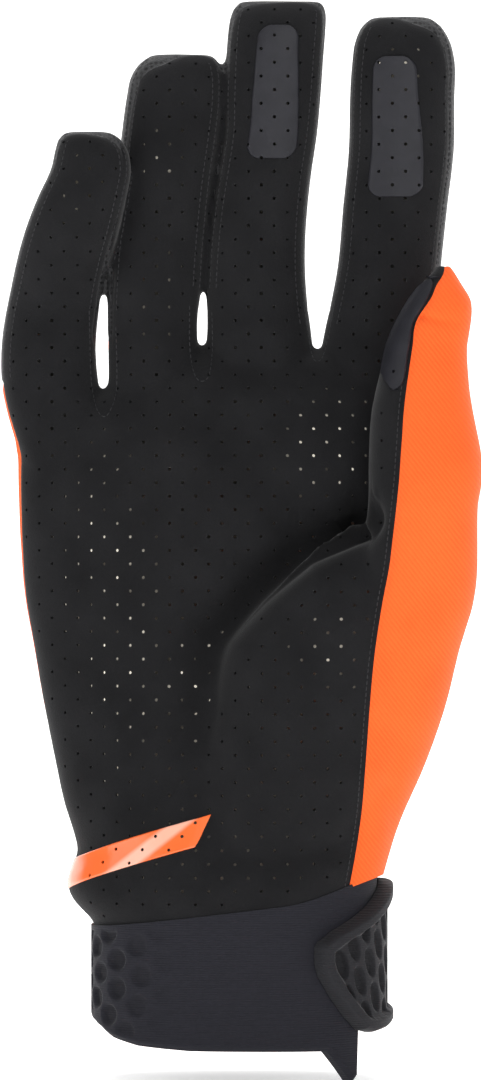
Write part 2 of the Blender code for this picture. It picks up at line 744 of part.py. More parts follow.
def closure_tab(between):
    """The end of the wrist closure, wrapped over the cuff from the back."""
    turns = []
    for row, after in zip(TAB_ROWS, TAB_ROWS[1:]):
        count = between if row.field else 1
        turns += list(np.linspace(row.turn, after.turn, count, endpoint=False))
    turns.append(TAB_ROWS[-1].turn)
    keys = [row.turn for row in TAB_ROWS]
    outer = []
    inner = []
    for degrees in turns:
        turn = math.radians(degrees)
        x = wrist_point(turn, 0.0, 0.0)[0]
        low, high, field = (
            np.interp(degrees, keys, [getattr(row, name) for row in TAB_ROWS])
            for name in ("low", "high", "field")
        )
        top = min(high * WRIST_SEAM_HEIGHT, wrist_seam_z(x) - TAB_SEAM_CLEARANCE)
        heights, thick = tab_levels(low * WRIST_SEAM_HEIGHT, top, field)
        edge = TAB_FIELD if degrees in (turns[0], turns[-1]) else TAB_RIM
        lifts = [SEAM_GAP + min(depth, edge) for depth in thick]
        outer.append([wrist_point(turn, z, lift) for z, lift in zip(heights, lifts)])
        inner.append([wrist_point(turn, z, SEAM_GAP) for z in heights])
    return panel("closure_tab", np.array(outer), np.array(inner), len(outer), len(outer[0]))


# Materials

Look = namedtuple("Look", "slot red green blue rough nodes")
LOOKS = (
    Look("suede_black", 0.016, 0.016, 0.017, 0.85, ("palm_panel",)),
    Look("stretch_orange", 0.95, 0.16, 0.03, 0.80, ("hand_back_panel", "thumb_panel")),
    Look("mesh_black", 0.012, 0.012, 0.013, 0.75,
         tuple(tube.name + "_back_panel" for tube in FINGERS)),
    Look("grip_grey", 0.045, 0.045, 0.052, 0.35,
         ("index_grip_patch", "middle_grip_patch", "thumb_grip_patch")),
    Look("film_orange", 0.95, 0.18, 0.03, 0.25, ("accent_stripe",)),
    Look("neoprene_dark", 0.023, 0.023, 0.033, 0.80, ("cuff",)),
    Look("tab_dark", 0.023, 0.023, 0.030, 0.60, ("closure_tab",)),
)


def colour_parts():
    for look in LOOKS:
        material = bpy.data.materials.new(look.slot)
        material.use_nodes = True
        shader = material.node_tree.nodes["Principled BSDF"]
        shader.inputs["Base Color"].default_value = (look.red, look.green, look.blue, 1)
        shader.inputs["Roughness"].default_value = look.rough
        shader.inputs["Metallic"].default_value = 0.0
        material.diffuse_color = (look.red, look.green, look.blue, 1)
        for name in look.nodes:
            mesh = bpy.data.objects[name].data
            mesh.materials.clear()
            mesh.materials.append(material)
            mesh.shade_smooth()
            mesh.set_sharp_from_angle(angle=math.radians(40))


for old in list(bpy.data.objects):
    bpy.data.objects.remove(old)
skin_panels()
grip_patch(INDEX, INDEX_PATCH, 8, 6)
grip_patch(MIDDLE, MIDDLE_PATCH, 8, 6)
grip_patch(THUMB, THUMB_PATCH, 7, 6)
accent_stripe(14)
cuff(3)
closure_tab(2)
colour_parts()
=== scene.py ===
"""The looks of a right-hand off-road riding glove, worn and held up by its wrist.

Metres, +Z towards the fingertips, palm towards -Y, thumb towards +X. The skin is one
form: tubes for the hand and its digits are merged and smoothed, then cut into panels
along the seams, given their thickness and pierced. Trims lie on that skin.
"""
import math
from collections import namedtuple

import bmesh
import bpy
import numpy as np
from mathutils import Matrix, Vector
from mathutils.bvhtree import BVHTree


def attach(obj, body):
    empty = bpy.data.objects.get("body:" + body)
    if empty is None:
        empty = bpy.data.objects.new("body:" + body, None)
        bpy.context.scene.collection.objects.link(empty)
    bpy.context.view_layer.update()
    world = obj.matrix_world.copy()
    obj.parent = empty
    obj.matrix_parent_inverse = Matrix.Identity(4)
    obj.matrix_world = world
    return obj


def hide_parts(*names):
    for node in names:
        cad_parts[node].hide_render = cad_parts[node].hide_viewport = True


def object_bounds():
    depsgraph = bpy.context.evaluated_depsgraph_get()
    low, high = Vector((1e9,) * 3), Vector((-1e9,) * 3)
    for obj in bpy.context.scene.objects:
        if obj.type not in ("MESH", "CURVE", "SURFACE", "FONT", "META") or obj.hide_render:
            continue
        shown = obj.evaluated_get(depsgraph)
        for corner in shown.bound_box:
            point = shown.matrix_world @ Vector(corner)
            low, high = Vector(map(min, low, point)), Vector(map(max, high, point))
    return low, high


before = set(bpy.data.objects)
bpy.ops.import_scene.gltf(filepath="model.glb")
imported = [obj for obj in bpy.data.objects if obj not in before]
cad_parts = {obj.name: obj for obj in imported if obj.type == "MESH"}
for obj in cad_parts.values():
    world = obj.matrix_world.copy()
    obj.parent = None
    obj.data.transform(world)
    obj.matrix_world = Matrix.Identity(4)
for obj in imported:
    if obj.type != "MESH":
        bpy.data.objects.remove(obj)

cad_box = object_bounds()

# Camera, floor and light
# The view is level, straight onto the palm. A long lens stands well back, and one
# pixel of the picture is 0.225 mm at the glove. Floor and backdrop are one white sweep.

PIXEL = 0.000225
PICTURE = (481, 1080)
PICTURE_CENTRE = (0.0001, 0.1136)
DISTANCE = 1.25
SENSOR = 36.0
FLOOR_Z = float(cad_box[0][2])
BACKDROP_DEPTH = 4.6
BACKDROP_GLOW = 0.48
WORLD_LIGHT = 0.24
AIM_HEIGHT = 0.12
WHITE = (1, 1, 1, 1)

camera = bpy.data.objects.new("camera", bpy.data.cameras.new("camera"))
bpy.context.scene.collection.objects.link(camera)
camera.location = (PICTURE_CENTRE[0], -DISTANCE, PICTURE_CENTRE[1])
camera.rotation_euler = (math.radians(90), 0, 0)
camera.data.sensor_width = SENSOR
camera.data.lens = DISTANCE * SENSOR / (PICTURE[1] * PIXEL)
camera.data.clip_end = 50
bpy.context.scene.camera = camera
bpy.context.scene.view_settings.view_transform = "Standard"


def link_mesh(name, verts, faces):
    """A mesh object from any stack of points and its faces."""
    mesh = bpy.data.meshes.new(name)
    corners = [list(map(int, face)) for face in faces]
    mesh.from_pydata(np.asarray(verts).reshape(-1, 3).tolist(), [], corners)
    obj = bpy.data.objects.new(name, mesh)
    bpy.context.scene.collection.objects.link(obj)
    return obj


def grid_faces(rows, columns, closed=False):
    """Quads between the points of a grid, closed round its columns if asked."""
    r, c = np.meshgrid(np.arange(rows - 1), np.arange(columns - (not closed)), indexing="ij")
    a = r * columns + c
    b = r * columns + (c + 1) % columns
    return np.stack([a, b, b + columns, a + columns], axis=-1).reshape(-1, 4)


def material_of(name, colour, rough, **inputs):
    """A material with one shader, whose even values are set on its own sockets."""
    material = bpy.data.materials.new(name)
    material.use_nodes = True
    shader = material.node_tree.nodes["Principled BSDF"]
    shader.inputs["Base Color"].default_value = (*colour, 1)
    shader.inputs["Roughness"].default_value = rough
    for key, value in inputs.items():
        shader.inputs[key.replace("_", " ")].default_value = value
    return material, material.node_tree, shader


def sweep(height, depth, radius, half_width, steps):
    """Floor and backdrop: a line backwards, an arc upwards, then a line up."""
    turns = np.linspace(0, math.pi / 2, steps)
    y = np.concatenate([[-depth * 2], depth + radius * np.sin(turns), [depth + radius]])
    z = np.concatenate([[0], radius * (1 - np.cos(turns)), [height]]) + FLOOR_Z
    edges = [np.stack([np.full(len(y), x), y, z], 1) for x in (-half_width, half_width)]
    return link_mesh("sweep", np.stack(edges, 1), grid_faces(len(y), 2))


backdrop = sweep(height=14.0, depth=BACKDROP_DEPTH, radius=3.0, half_width=14.0, steps=16)
white, _, white_shader = material_of("sweep_white", (0.93, 0.93, 0.93), 0.9)
white_shader.inputs["Emission Color"].default_value = WHITE
white_shader.inputs["Emission Strength"].default_value = BACKDROP_GLOW
backdrop.data.materials.append(white)
backdrop.data.shade_smooth()

world = bpy.data.worlds.new("studio")
world.use_nodes = True
world.node_tree.nodes["Background"].inputs["Color"].default_value = WHITE
world.node_tree.nodes["Background"].inputs["Strength"].default_value = WORLD_LIGHT
bpy.context.scene.world = world

# Columns: name, place, size in metres, power in watts, and how far back it aims.
Softbox = namedtuple("Softbox", "name place size power aim_y")
SOFTBOXES = (
    Softbox("key", (0.35, -1.5, 0.8), 0.8, 8.8, 0.0),
    Softbox("fill", (-1.1, -0.9, 0.3), 0.9, 3.5, 0.0),
    Softbox("back_left", (-0.9, 0.7, 0.7), 0.7, 3.5, 0.0),
    Softbox("back_right", (0.9, 0.7, 0.5), 0.7, 3.0, 0.0),
    Softbox("backdrop_light", (0.0, 2.2, 6.5), 5.0, 420.0, BACKDROP_DEPTH),
)
for box in SOFTBOXES:
    light = bpy.data.objects.new(box.name, bpy.data.lights.new(box.name, "AREA"))
    light.data.size = box.size
    light.data.energy = box.power
    light.location = box.place
    aim = Vector((0, box.aim_y, AIM_HEIGHT)) - Vector(box.place)
    light.rotation_euler = aim.to_track_quat("-Z", "Y").to_euler()
    bpy.context.scene.collection.objects.link(light)

# Form of the hand
# Each tube is a stack of rounded oval sections, from a table of shares along its
# length. The same tables shape the solids that these pieces stand for.

PALM_WIDTH = 0.0960
PALM_LENGTH = 0.1240
PALM_DEPTH = 0.0394
TUBE_SQUARENESS = 2.3
SEAM_GAP = 0.0003
SEAM_FORWARD = 0.0022
WRIST_SEAM_HEIGHT = 0.0306
WRIST_SEAM_TILT = 0.12
WRIST_SEAM_RISE = 0.0045
WRIST_RISE_START = 0.010
WRIST_RISE_RUN = 0.026
TOP_DROP = 0.0170
TOP_DROP_START = -0.009
TOP_DROP_RUN = 0.041
TOP_DROP_LIMIT = 1.2
WEB_START = 0.8548 * PALM_LENGTH
WEB_END = 0.9919 * PALM_LENGTH
KNUCKLE_SEAM_RISE = 0.006
SEAM_TURN = 0.0040
SEAM_HANDOVER = 0.010
LITTLE_SEAM_DROP = 0.012
CROTCH_REACH = 0.0085
CROTCH_BACK = 0.0095
REAR_MARGIN = 0.001
GROOVE_HALF = 0.0007
GROOVE_DEPTH = 0.00035
FOLD_FADE = 0.8
TUBE_AROUND = 64
HAND_STATIONS = 60
DIGIT_STATIONS = 48
VOXEL = 0.00075
SMOOTH_STEPS = 12
FORM_SHARE = 0.62
CLOTH = 0.0012
FAR = 1e9
MERGE_DIGITS = 7
SHARP_ANGLE = math.radians(50)

Section = namedtuple("Section", "along side wide forward deep")
Tube = namedtuple("Tube", "name root_x root_z length width depth reach rows")

# Columns: share of the length, centre sideways and half width as shares of the width,
# centre forward as a share of the reach, and half depth as a share of the depth.
HAND_ROWS = (
    Section(-0.090, -0.014, 0.335, 0.00, 0.520),
    Section(0.000, -0.014, 0.335, 0.00, 0.520),
    Section(0.024, -0.020, 0.357, 0.40, 0.530),
    Section(0.048, -0.028, 0.372, 0.50, 0.527),
    Section(0.085, -0.025, 0.373, 0.40, 0.512),
    Section(0.112, -0.014, 0.366, 0.30, 0.503),
    Section(0.142, -0.017, 0.371, 0.20, 0.492),
    Section(0.190, -0.023, 0.388, 0.10, 0.475),
    Section(0.252, -0.028, 0.403, 0.00, 0.456),
    Section(0.362, -0.032, 0.430, -0.25, 0.425),
    Section(0.469, -0.032, 0.454, -0.50, 0.406),
    Section(0.546, -0.033, 0.471, -0.50, 0.393),
    Section(0.656, -0.031, 0.483, -0.50, 0.380),
    Section(0.795, -0.028, 0.491, -0.50, 0.362),
    Section(0.877, -0.026, 0.495, -0.40, 0.335),
    Section(0.934, -0.027, 0.495, -0.30, 0.292),
    Section(0.975, -0.033, 0.493, -0.30, 0.211),
    Section(1.000, -0.034, 0.477, -0.30, 0.099),
)

THENAR_ROWS = (
    Section(0.000, -0.40, 0.250, 0.10, 0.33),
    Section(0.092, -0.31, 0.340, 0.25, 0.40),
    Section(0.230, -0.18, 0.420, 0.35, 0.40),
    Section(0.385, -0.06, 0.464, 0.40, 0.45),
    Section(0.540, 0.025, 0.471, 0.43, 0.49),
    Section(0.690, 0.067, 0.478, 0.45, 0.51),
    Section(0.805, 0.147, 0.433, 0.48, 0.48),
    Section(0.897, 0.223, 0.366, 0.53, 0.42),
    Section(0.954, 0.277, 0.304, 0.58, 0.34),
    Section(1.000, 0.339, 0.214, 0.63, 0.23),
)

THUMB_ROWS = (
    Section(0.000, -0.80, 0.460, 0.09, 0.522),
    Section(0.101, -0.67, 0.496, 0.18, 0.565),
    Section(0.198, -0.48, 0.536, 0.31, 0.565),
    Section(0.296, -0.32, 0.560, 0.45, 0.565),
    Section(0.390, -0.19, 0.552, 0.59, 0.557),
    Section(0.463, -0.08, 0.560, 0.72, 0.539),
    Section(0.520, -0.02, 0.528, 0.82, 0.522),
    Section(0.564, 0.00, 0.504, 0.90, 0.509),
    Section(0.625, 0.022, 0.486, 1.00, 0.491),
    Section(0.657, 0.040, 0.504, 1.01, 0.488),
    Section(0.690, 0.040, 0.504, 1.01, 0.486),
    Section(0.722, 0.026, 0.482, 1.00, 0.472),
    Section(0.755, 0.012, 0.460, 1.00, 0.452),
    Section(0.791, 0.012, 0.424, 0.99, 0.430),
    Section(0.830, 0.028, 0.388, 0.99, 0.405),
    Section(0.869, 0.052, 0.356, 0.99, 0.380),
    Section(0.908, 0.116, 0.328, 1.00, 0.345),
    Section(0.947, 0.174, 0.262, 1.01, 0.285),
    Section(0.967, 0.176, 0.186, 1.01, 0.235),
    Section(0.986, 0.196, 0.105, 1.02, 0.160),
    Section(1.000, 0.200, 0.050, 1.02, 0.080),
)

INDEX_ROWS = (
    Section(-0.300, -0.02, 0.500, 0.00, 0.480),
    Section(0.040, 0.00, 0.540, 0.00, 0.500),
    Section(0.147, 0.047, 0.513, 0.02, 0.500),
    Section(0.255, 0.095, 0.496, 0.06, 0.495),
    Section(0.435, 0.151, 0.500, 0.20, 0.480),
    Section(0.615, 0.211, 0.504, 0.42, 0.470),
    Section(0.760, 0.216, 0.500, 0.64, 0.455),
    Section(0.867, 0.228, 0.491, 0.82, 0.420),
    Section(0.939, 0.216, 0.440, 0.93, 0.340),
    Section(0.982, 0.205, 0.350, 0.99, 0.220),
    Section(1.000, 0.200, 0.270, 1.00, 0.130),
)

MIDDLE_ROWS = (
    Section(-0.300, 0.00, 0.500, 0.00, 0.470),
    Section(0.037, -0.010, 0.550, 0.00, 0.500),
    Section(0.140, -0.027, 0.520, 0.02, 0.500),
    Section(0.244, -0.032, 0.500, 0.06, 0.490),
    Section(0.416, 0.009, 0.483, 0.19, 0.480),
    Section(0.520, 0.059, 0.475, 0.30, 0.475),
    Section(0.624, 0.114, 0.475, 0.43, 0.470),
    Section(0.728, 0.136, 0.488, 0.58, 0.460),
    Section(0.866, 0.164, 0.495, 0.81, 0.425),
    Section(0.935, 0.185, 0.493, 0.92, 0.350),
    Section(0.978, 0.205, 0.470, 0.98, 0.240),
    Section(1.000, 0.215, 0.415, 1.00, 0.140),
)

RING_ROWS = (
    Section(-0.320, 0.02, 0.460, 0.00, 0.460),
    Section(0.086, 0.007, 0.487, 0.00, 0.500),
    Section(0.214, 0.012, 0.490, 0.03, 0.500),
    Section(0.320, 0.030, 0.488, 0.09, 0.490),
    Section(0.449, 0.066, 0.485, 0.21, 0.485),
    Section(0.600, 0.112, 0.490, 0.40, 0.475),
    Section(0.750, 0.172, 0.497, 0.62, 0.460),
    Section(0.863, 0.215, 0.490, 0.81, 0.415),
    Section(0.940, 0.240, 0.455, 0.93, 0.330),
    Section(0.980, 0.270, 0.385, 0.98, 0.220),
    Section(1.000, 0.290, 0.300, 1.00, 0.130),
)

LITTLE_ROWS = (
    Section(-0.300, 0.130, 0.400, 0.00, 0.480),
    Section(0.074, -0.014, 0.500, 0.00, 0.500),
    Section(0.214, -0.020, 0.487, 0.01, 0.500),
    Section(0.353, 0.035, 0.483, 0.04, 0.500),
    Section(0.414, 0.070, 0.480, 0.17, 0.495),
    Section(0.493, 0.120, 0.480, 0.37, 0.490),
    Section(0.633, 0.230, 0.478, 0.68, 0.480),
    Section(0.759, 0.340, 0.450, 0.86, 0.460),
    Section(0.866, 0.430, 0.405, 0.94, 0.410),
    Section(0.940, 0.427, 0.360, 0.98, 0.330),
    Section(0.983, 0.405, 0.290, 1.00, 0.220),
    Section(1.000, 0.390, 0.220, 1.00, 0.130),
)


def sized(name, root_x, root_z, length, width, depth, reach, rows):
    """A tube from shares of the palm: heights of its length, widths of its width, and
    depths of its depth."""
    return Tube(
        name,
        root_x * PALM_WIDTH,
        root_z * PALM_LENGTH,
        length * PALM_LENGTH,
        width * PALM_WIDTH,
        depth * PALM_DEPTH,
        reach * PALM_DEPTH,
        rows,
    )


HAND = sized("hand", 0.0000, 0.2629, 1.0000, 1.0000, 1.0000, 0.0254, HAND_ROWS)
THENAR = sized("thenar", 0.1771, 0.2419, 0.7016, 0.5833, 0.8883, 0.5076, THENAR_ROWS)
THUMB = sized("thumb", 0.4167, 0.2903, 1.1169, 0.2604, 0.5838, 0.5635, THUMB_ROWS)
INDEX = sized("index", 0.3260, 1.2540, 0.6073, 0.2448, 0.4822, 0.1269, INDEX_ROWS)
MIDDLE = sized("middle", 0.0448, 1.2540, 0.6355, 0.2302, 0.4873, 0.1269, MIDDLE_ROWS)
RING = sized("ring", -0.2021, 1.2258, 0.5677, 0.2302, 0.4721, 0.1269, RING_ROWS)
LITTLE = sized("little", -0.4427, 1.1774, 0.4710, 0.2281, 0.4264, 0.3680, LITTLE_ROWS)
FINGERS = (INDEX, MIDDLE, RING, LITTLE)
TUBES = (HAND, THENAR, THUMB) + FINGERS

# Columns: share of the hand's length, and how far forward as a share of SEAM_FORWARD.
SideSeam = namedtuple("SideSeam", "along forward")
SIDE_SEAM = (
    SideSeam(-0.20, 0.20),
    SideSeam(0.00, 0.20),
    SideSeam(0.50, 0.30),
    SideSeam(0.66, 0.60),
    SideSeam(0.84, 1.00),
    SideSeam(1.10, 1.00),
)

# Columns: share of the thumb's length, and the place across its half width.
ThumbSeam = namedtuple("ThumbSeam", "along across")
THUMB_SEAM = (
    ThumbSeam(-0.15, 0.42),
    ThumbSeam(0.000, 0.37),
    ThumbSeam(0.101, 0.27),
    ThumbSeam(0.198, -0.02),
    ThumbSeam(0.296, -0.24),
    ThumbSeam(0.390, -0.39),
    ThumbSeam(0.463, -0.47),
    ThumbSeam(0.625, -0.50),
    ThumbSeam(0.690, -0.46),
    ThumbSeam(0.755, -0.39),
    ThumbSeam(0.830, -0.37),
    ThumbSeam(0.869, -0.38),
    ThumbSeam(0.908, -0.50),
    ThumbSeam(0.947, -0.33),
    ThumbSeam(0.967, -0.22),
    ThumbSeam(0.986, 0.00),
    ThumbSeam(1.040, 0.20),
)


def through(rows, column, at):
    """One column of a table at a share: between two rows it follows a cubic that has
    each row's value, and at each row the slope of the rows around it."""
    keys = np.array([row[0] for row in rows])
    values = np.array([getattr(row, column) for row in rows])
    slopes = np.gradient(values, keys)
    at = np.clip(at, keys[0], keys[-1])
    i = np.clip(np.searchsorted(keys, at) - 1, 0, len(keys) - 2)
    step = keys[i + 1] - keys[i]
    t = (at - keys[i]) / step
    start = values[i] * (2 * t**3 - 3 * t**2 + 1) + slopes[i] * step * (t**3 - 2 * t**2 + t)
    return start + values[i + 1] * (3 * t**2 - 2 * t**3) + slopes[i + 1] * step * (t**3 - t**2)


def ease(value, start, end):
    """0 before start and 1 after end, with a smooth step between them."""
    t = np.clip((value - start) / (end - start), 0, 1)
    return t * t * (3 - 2 * t)


def section_of(tube, along):
    """Centre and half sizes of a tube's section: x, y, half width, half depth."""
    x = tube.root_x + through(tube.rows, "side", along) * tube.width
    y = -through(tube.rows, "forward", along) * tube.reach
    return (
        x,
        y,
        through(tube.rows, "wide", along) * tube.width,
        through(tube.rows, "deep", along) * tube.depth,
    )


def signed_power(value, power):
    """A power of a value's size, with the value's own sign."""
    return np.sign(value) * np.abs(value) ** power


def wrist_seam_z(x):
    """Height of the wrist seam: a slope with a rise towards the thumb."""
    rise = WRIST_SEAM_RISE * ease(x, WRIST_RISE_START, WRIST_RISE_START + WRIST_RISE_RUN)
    return WRIST_SEAM_HEIGHT + WRIST_SEAM_TILT * x + rise


def hand_height(x, along):
    """Height of a hand row: the wrist seam at its foot, and the finger webs at its top."""
    level = HAND.root_z + HAND.length * along
    foot = (wrist_seam_z(x) - WRIST_SEAM_HEIGHT) * (1 - ease(along, 0.0, 0.35))
    drop = TOP_DROP * np.clip((TOP_DROP_START - x) / TOP_DROP_RUN, 0, TOP_DROP_LIMIT)
    return level + foot - drop * ease(along, 0.55, 1.0)


def surface(tube, along, angle, proud=0.0):
    """Points on a tube's outer face, at shares of its length and angles round it."""
    x, y, wide, deep = section_of(tube, along)
    power = 2 / TUBE_SQUARENESS
    px = x + (wide + proud) * signed_power(np.cos(angle), power)
    py = y + (deep + proud) * signed_power(np.sin(angle), power)
    pz = hand_height(px, along) if tube is HAND else tube.root_z + tube.length * along + 0 * px
    return np.stack([px, py, pz], axis=-1)


def hand_seam_y(z):
    """How far forward the hand's side seam runs at a height."""
    along = (z - HAND.root_z) / HAND.length
    return -SEAM_FORWARD * through(SIDE_SEAM, "forward", along)


def thumb_seam_x(z):
    """Where the thumb's seam runs across its front at a height."""
    along = (z - THUMB.root_z) / THUMB.length
    x, _, wide, _ = section_of(THUMB, along)
    return x + through(THUMB_SEAM, "across", along) * wide


def face_y(tube, x, z, side):
    """How far back (side 1) or forward (side -1) a tube reaches at a place."""
    cx, cy, wide, deep = section_of(tube, (z - tube.root_z) / tube.length)
    share = np.clip(np.abs(x - cx) / wide, 0, 0.97)
    return cy + side * deep * (1 - share**TUBE_SQUARENESS) ** (1 / TUBE_SQUARENESS)


def thumb_rear_y(x, z):
    """The back limit of the thumb panel: the side seam below the web, and above it the
    middle of the gap between the thumb and the palm."""
    gap = (face_y(THUMB, x, z, 1) + face_y(HAND, x, z, -1)) / 2
    share = ease(z, WEB_START, WEB_END)
    return hand_seam_y(z) * (1 - share) + gap * share


def tube_mesh(tube, around, stations):
    """A closed tube: superellipse sections whose centre and half sizes follow smooth
    curves through the table, closer together towards both ends."""
    first, last = tube.rows[0].along, tube.rows[-1].along
    shares = first + (last - first) * (1 - np.cos(np.linspace(0, math.pi, stations))) / 2
    angles = np.arange(around) * 2 * math.pi / around
    rings = surface(tube, shares[:, None], angles[None, :])
    faces = grid_faces(stations, around, closed=True).tolist()
    faces.append(list(range(around))[::-1])
    faces.append([(stations - 1) * around + k for k in range(around)])
    return rings.reshape(-1, 3), faces


def evaluated(obj):
    """The object's mesh with its modifiers applied, which it then keeps."""
    graph = bpy.context.evaluated_depsgraph_get()
    mesh = bpy.data.meshes.new_from_object(obj.evaluated_get(graph))
    obj.modifiers.clear()
    obj.data = mesh
    return obj


def arrays(mesh):
    """A triangle mesh as arrays: points, normals and triangles."""
    verts = np.empty(len(mesh.vertices) * 3)
    mesh.vertices.foreach_get("co", verts)
    normals = np.empty(len(mesh.vertices) * 3)
    mesh.vertices.foreach_get("normal", normals)
    mesh.calc_loop_triangles()
    tris = np.empty(len(mesh.loop_triangles) * 3, dtype=int)
    mesh.loop_triangles.foreach_get("vertices", tris)
    return verts.reshape(-1, 3), normals.reshape(-1, 3), tris.reshape(-1, 3)


# Columns: the fold's line as x and z in metres, its depth and its half width.
Fold = namedtuple("Fold", "points depth wide")
CREASE = Fold(((0.0265, 0.1180), (0.0135, 0.1120), (0.0022, 0.1022), (-0.0060, 0.0930),
               (-0.0092, 0.0820), (-0.0100, 0.0700)), 0.0044, 0.0044)
SOFT_FOLDS = (
    Fold(((0.0260, 0.1185), (0.0180, 0.1155), (0.0100, 0.1105)), 0.0012, 0.0016),
    Fold(((-0.0060, 0.1400), (0.0080, 0.1425), (0.0180, 0.1400)), 0.0007, 0.0050),
    Fold(((-0.0300, 0.1330), (-0.0180, 0.1300), (-0.0060, 0.1290)), 0.0005, 0.0045),
)
THUMB_FOLDS = (
    Fold(((0.0395, 0.1630), (0.0440, 0.1618), (0.0480, 0.1615)), 0.0007, 0.0010),
    Fold(((0.0330, 0.0580), (0.0345, 0.0500), (0.0350, 0.0440)), 0.0006, 0.0022),
    Fold(((0.0300, 0.0720), (0.0380, 0.0690), (0.0440, 0.0700)), 0.0004, 0.0030),
)


def distance_to(points, xz):
    """How far each place lies from a line through points, and its share along it."""
    points = np.asarray(points)
    best = np.full(len(xz), FAR)
    where = np.zeros(len(xz))
    for k in range(len(points) - 1):
        a, b = points[k], points[k + 1]
        t = np.clip(((xz - a) @ (b - a)) / ((b - a) @ (b - a)), 0, 1)
        gap = np.linalg.norm(xz - a - t[:, None] * (b - a), axis=1)
        closer = gap < best
        best[closer] = gap[closer]
        where[closer] = (k + t[closer]) / (len(points) - 1)
    return best, where


def fold_depth(fold, xz):
    """A valley along a line, as deep as the fold at its start and fading to its end."""
    gap, along = distance_to(fold.points, xz)
    return fold.depth * np.exp(-(gap / fold.wide) ** 2) * (1 - FOLD_FADE * along)


def owner(points):
    """Which digit each point belongs to, by how far out of each section it lies."""
    best = np.full(len(points), FAR)
    which = np.full(len(points), -1)
    for k, tube in enumerate(FINGERS):
        along = (points[:, 2] - tube.root_z) / tube.length
        x, _, wide, _ = section_of(tube, along)
        gap = np.abs(points[:, 0] - x) / wide
        closer = gap < best
        best[closer] = gap[closer]
        which[closer] = k
    return which


# Columns: the crotch's place sideways and its height.
Crotch = namedtuple("Crotch", "x z")
CROTCHES = (Crotch(-0.0306, 0.1480), Crotch(-0.0086, 0.1560), Crotch(0.0176, 0.1560))
# Columns: how far forward of a finger's middle its seams run, at its left and right.
SeamSides = namedtuple("SeamSides", "left right")
SEAM_SIDES = {
    "index": SeamSides(0.0015, 0.0044),
    "middle": SeamSides(0.0026, 0.0018),
    "ring": SeamSides(0.0046, 0.0010),
    "little": SeamSides(0.0018, 0.0034),
}


def side_seam_y(points):
    """How far forward the side seam runs at each point: the hand's or its finger's, and
    well back in the crotches, which the suede wraps."""
    seam = hand_seam_y(points[:, 2])
    which = owner(points)
    for k, tube in enumerate(FINGERS):
        along = (points[:, 2] - tube.root_z) / tube.length
        x, y, _, _ = section_of(tube, along)
        sides = SEAM_SIDES[tube.name]
        rightness = ease(points[:, 0] - x, -SEAM_TURN, SEAM_TURN)
        forward = sides.left + (sides.right - sides.left) * rightness
        top = HAND.root_z + HAND.length - (LITTLE_SEAM_DROP if tube is LITTLE else 0)
        share = ease(points[:, 2], top - SEAM_HANDOVER, top)
        mine = which == k
        seam[mine] = (seam * (1 - share) + (y - forward) * share)[mine]
    for crotch in CROTCHES:
        near = np.hypot(points[:, 0] - crotch.x, points[:, 2] - crotch.z)
        seam = seam + CROTCH_BACK * np.exp(-(near / CROTCH_REACH) ** 4)
    return seam


def knuckle_seam_z(points):
    """Height of the seam behind each point's knuckle, level across a finger."""
    heights = [hand_height(np.array(t.root_x), 1.0) + KNUCKLE_SEAM_RISE for t in FINGERS]
    return np.array(heights)[owner(points)]


# Columns: the height, the slit's middle sideways and half its width.
Slit = namedtuple("Slit", "z x half")
LITTLE_RING_SLIT = (
    Slit(0.1455, -0.0306, 0.0002),
    Slit(0.1475, -0.0306, 0.0010),
    Slit(0.1520, -0.0309, 0.0014),
    Slit(0.1580, -0.0311, 0.0014),
    Slit(0.1640, -0.0309, 0.0011),
    Slit(0.1690, -0.0305, 0.0008),
    Slit(0.1750, -0.0300, 0.0004),
)
RING_MIDDLE_SLIT = (
    Slit(0.1545, -0.0086, 0.0002),
    Slit(0.1565, -0.0086, 0.0010),
    Slit(0.1620, -0.0085, 0.0012),
    Slit(0.1670, -0.0084, 0.0010),
    Slit(0.1710, -0.0083, 0.0002),
)


def keep_clear(points, slit, side):
    """Points of a finger pushed back to one side of the slit beside it."""
    keys = [row.z for row in slit]
    z = points[:, 2]
    inside = (z > keys[0]) & (z < keys[-1])
    half = np.interp(z, keys, [row.half for row in slit])
    edge = np.interp(z, keys, [row.x for row in slit]) + side * half
    past = (points[:, 0] - edge) * side < 0
    points[inside & past, 0] = edge[inside & past]
    return points


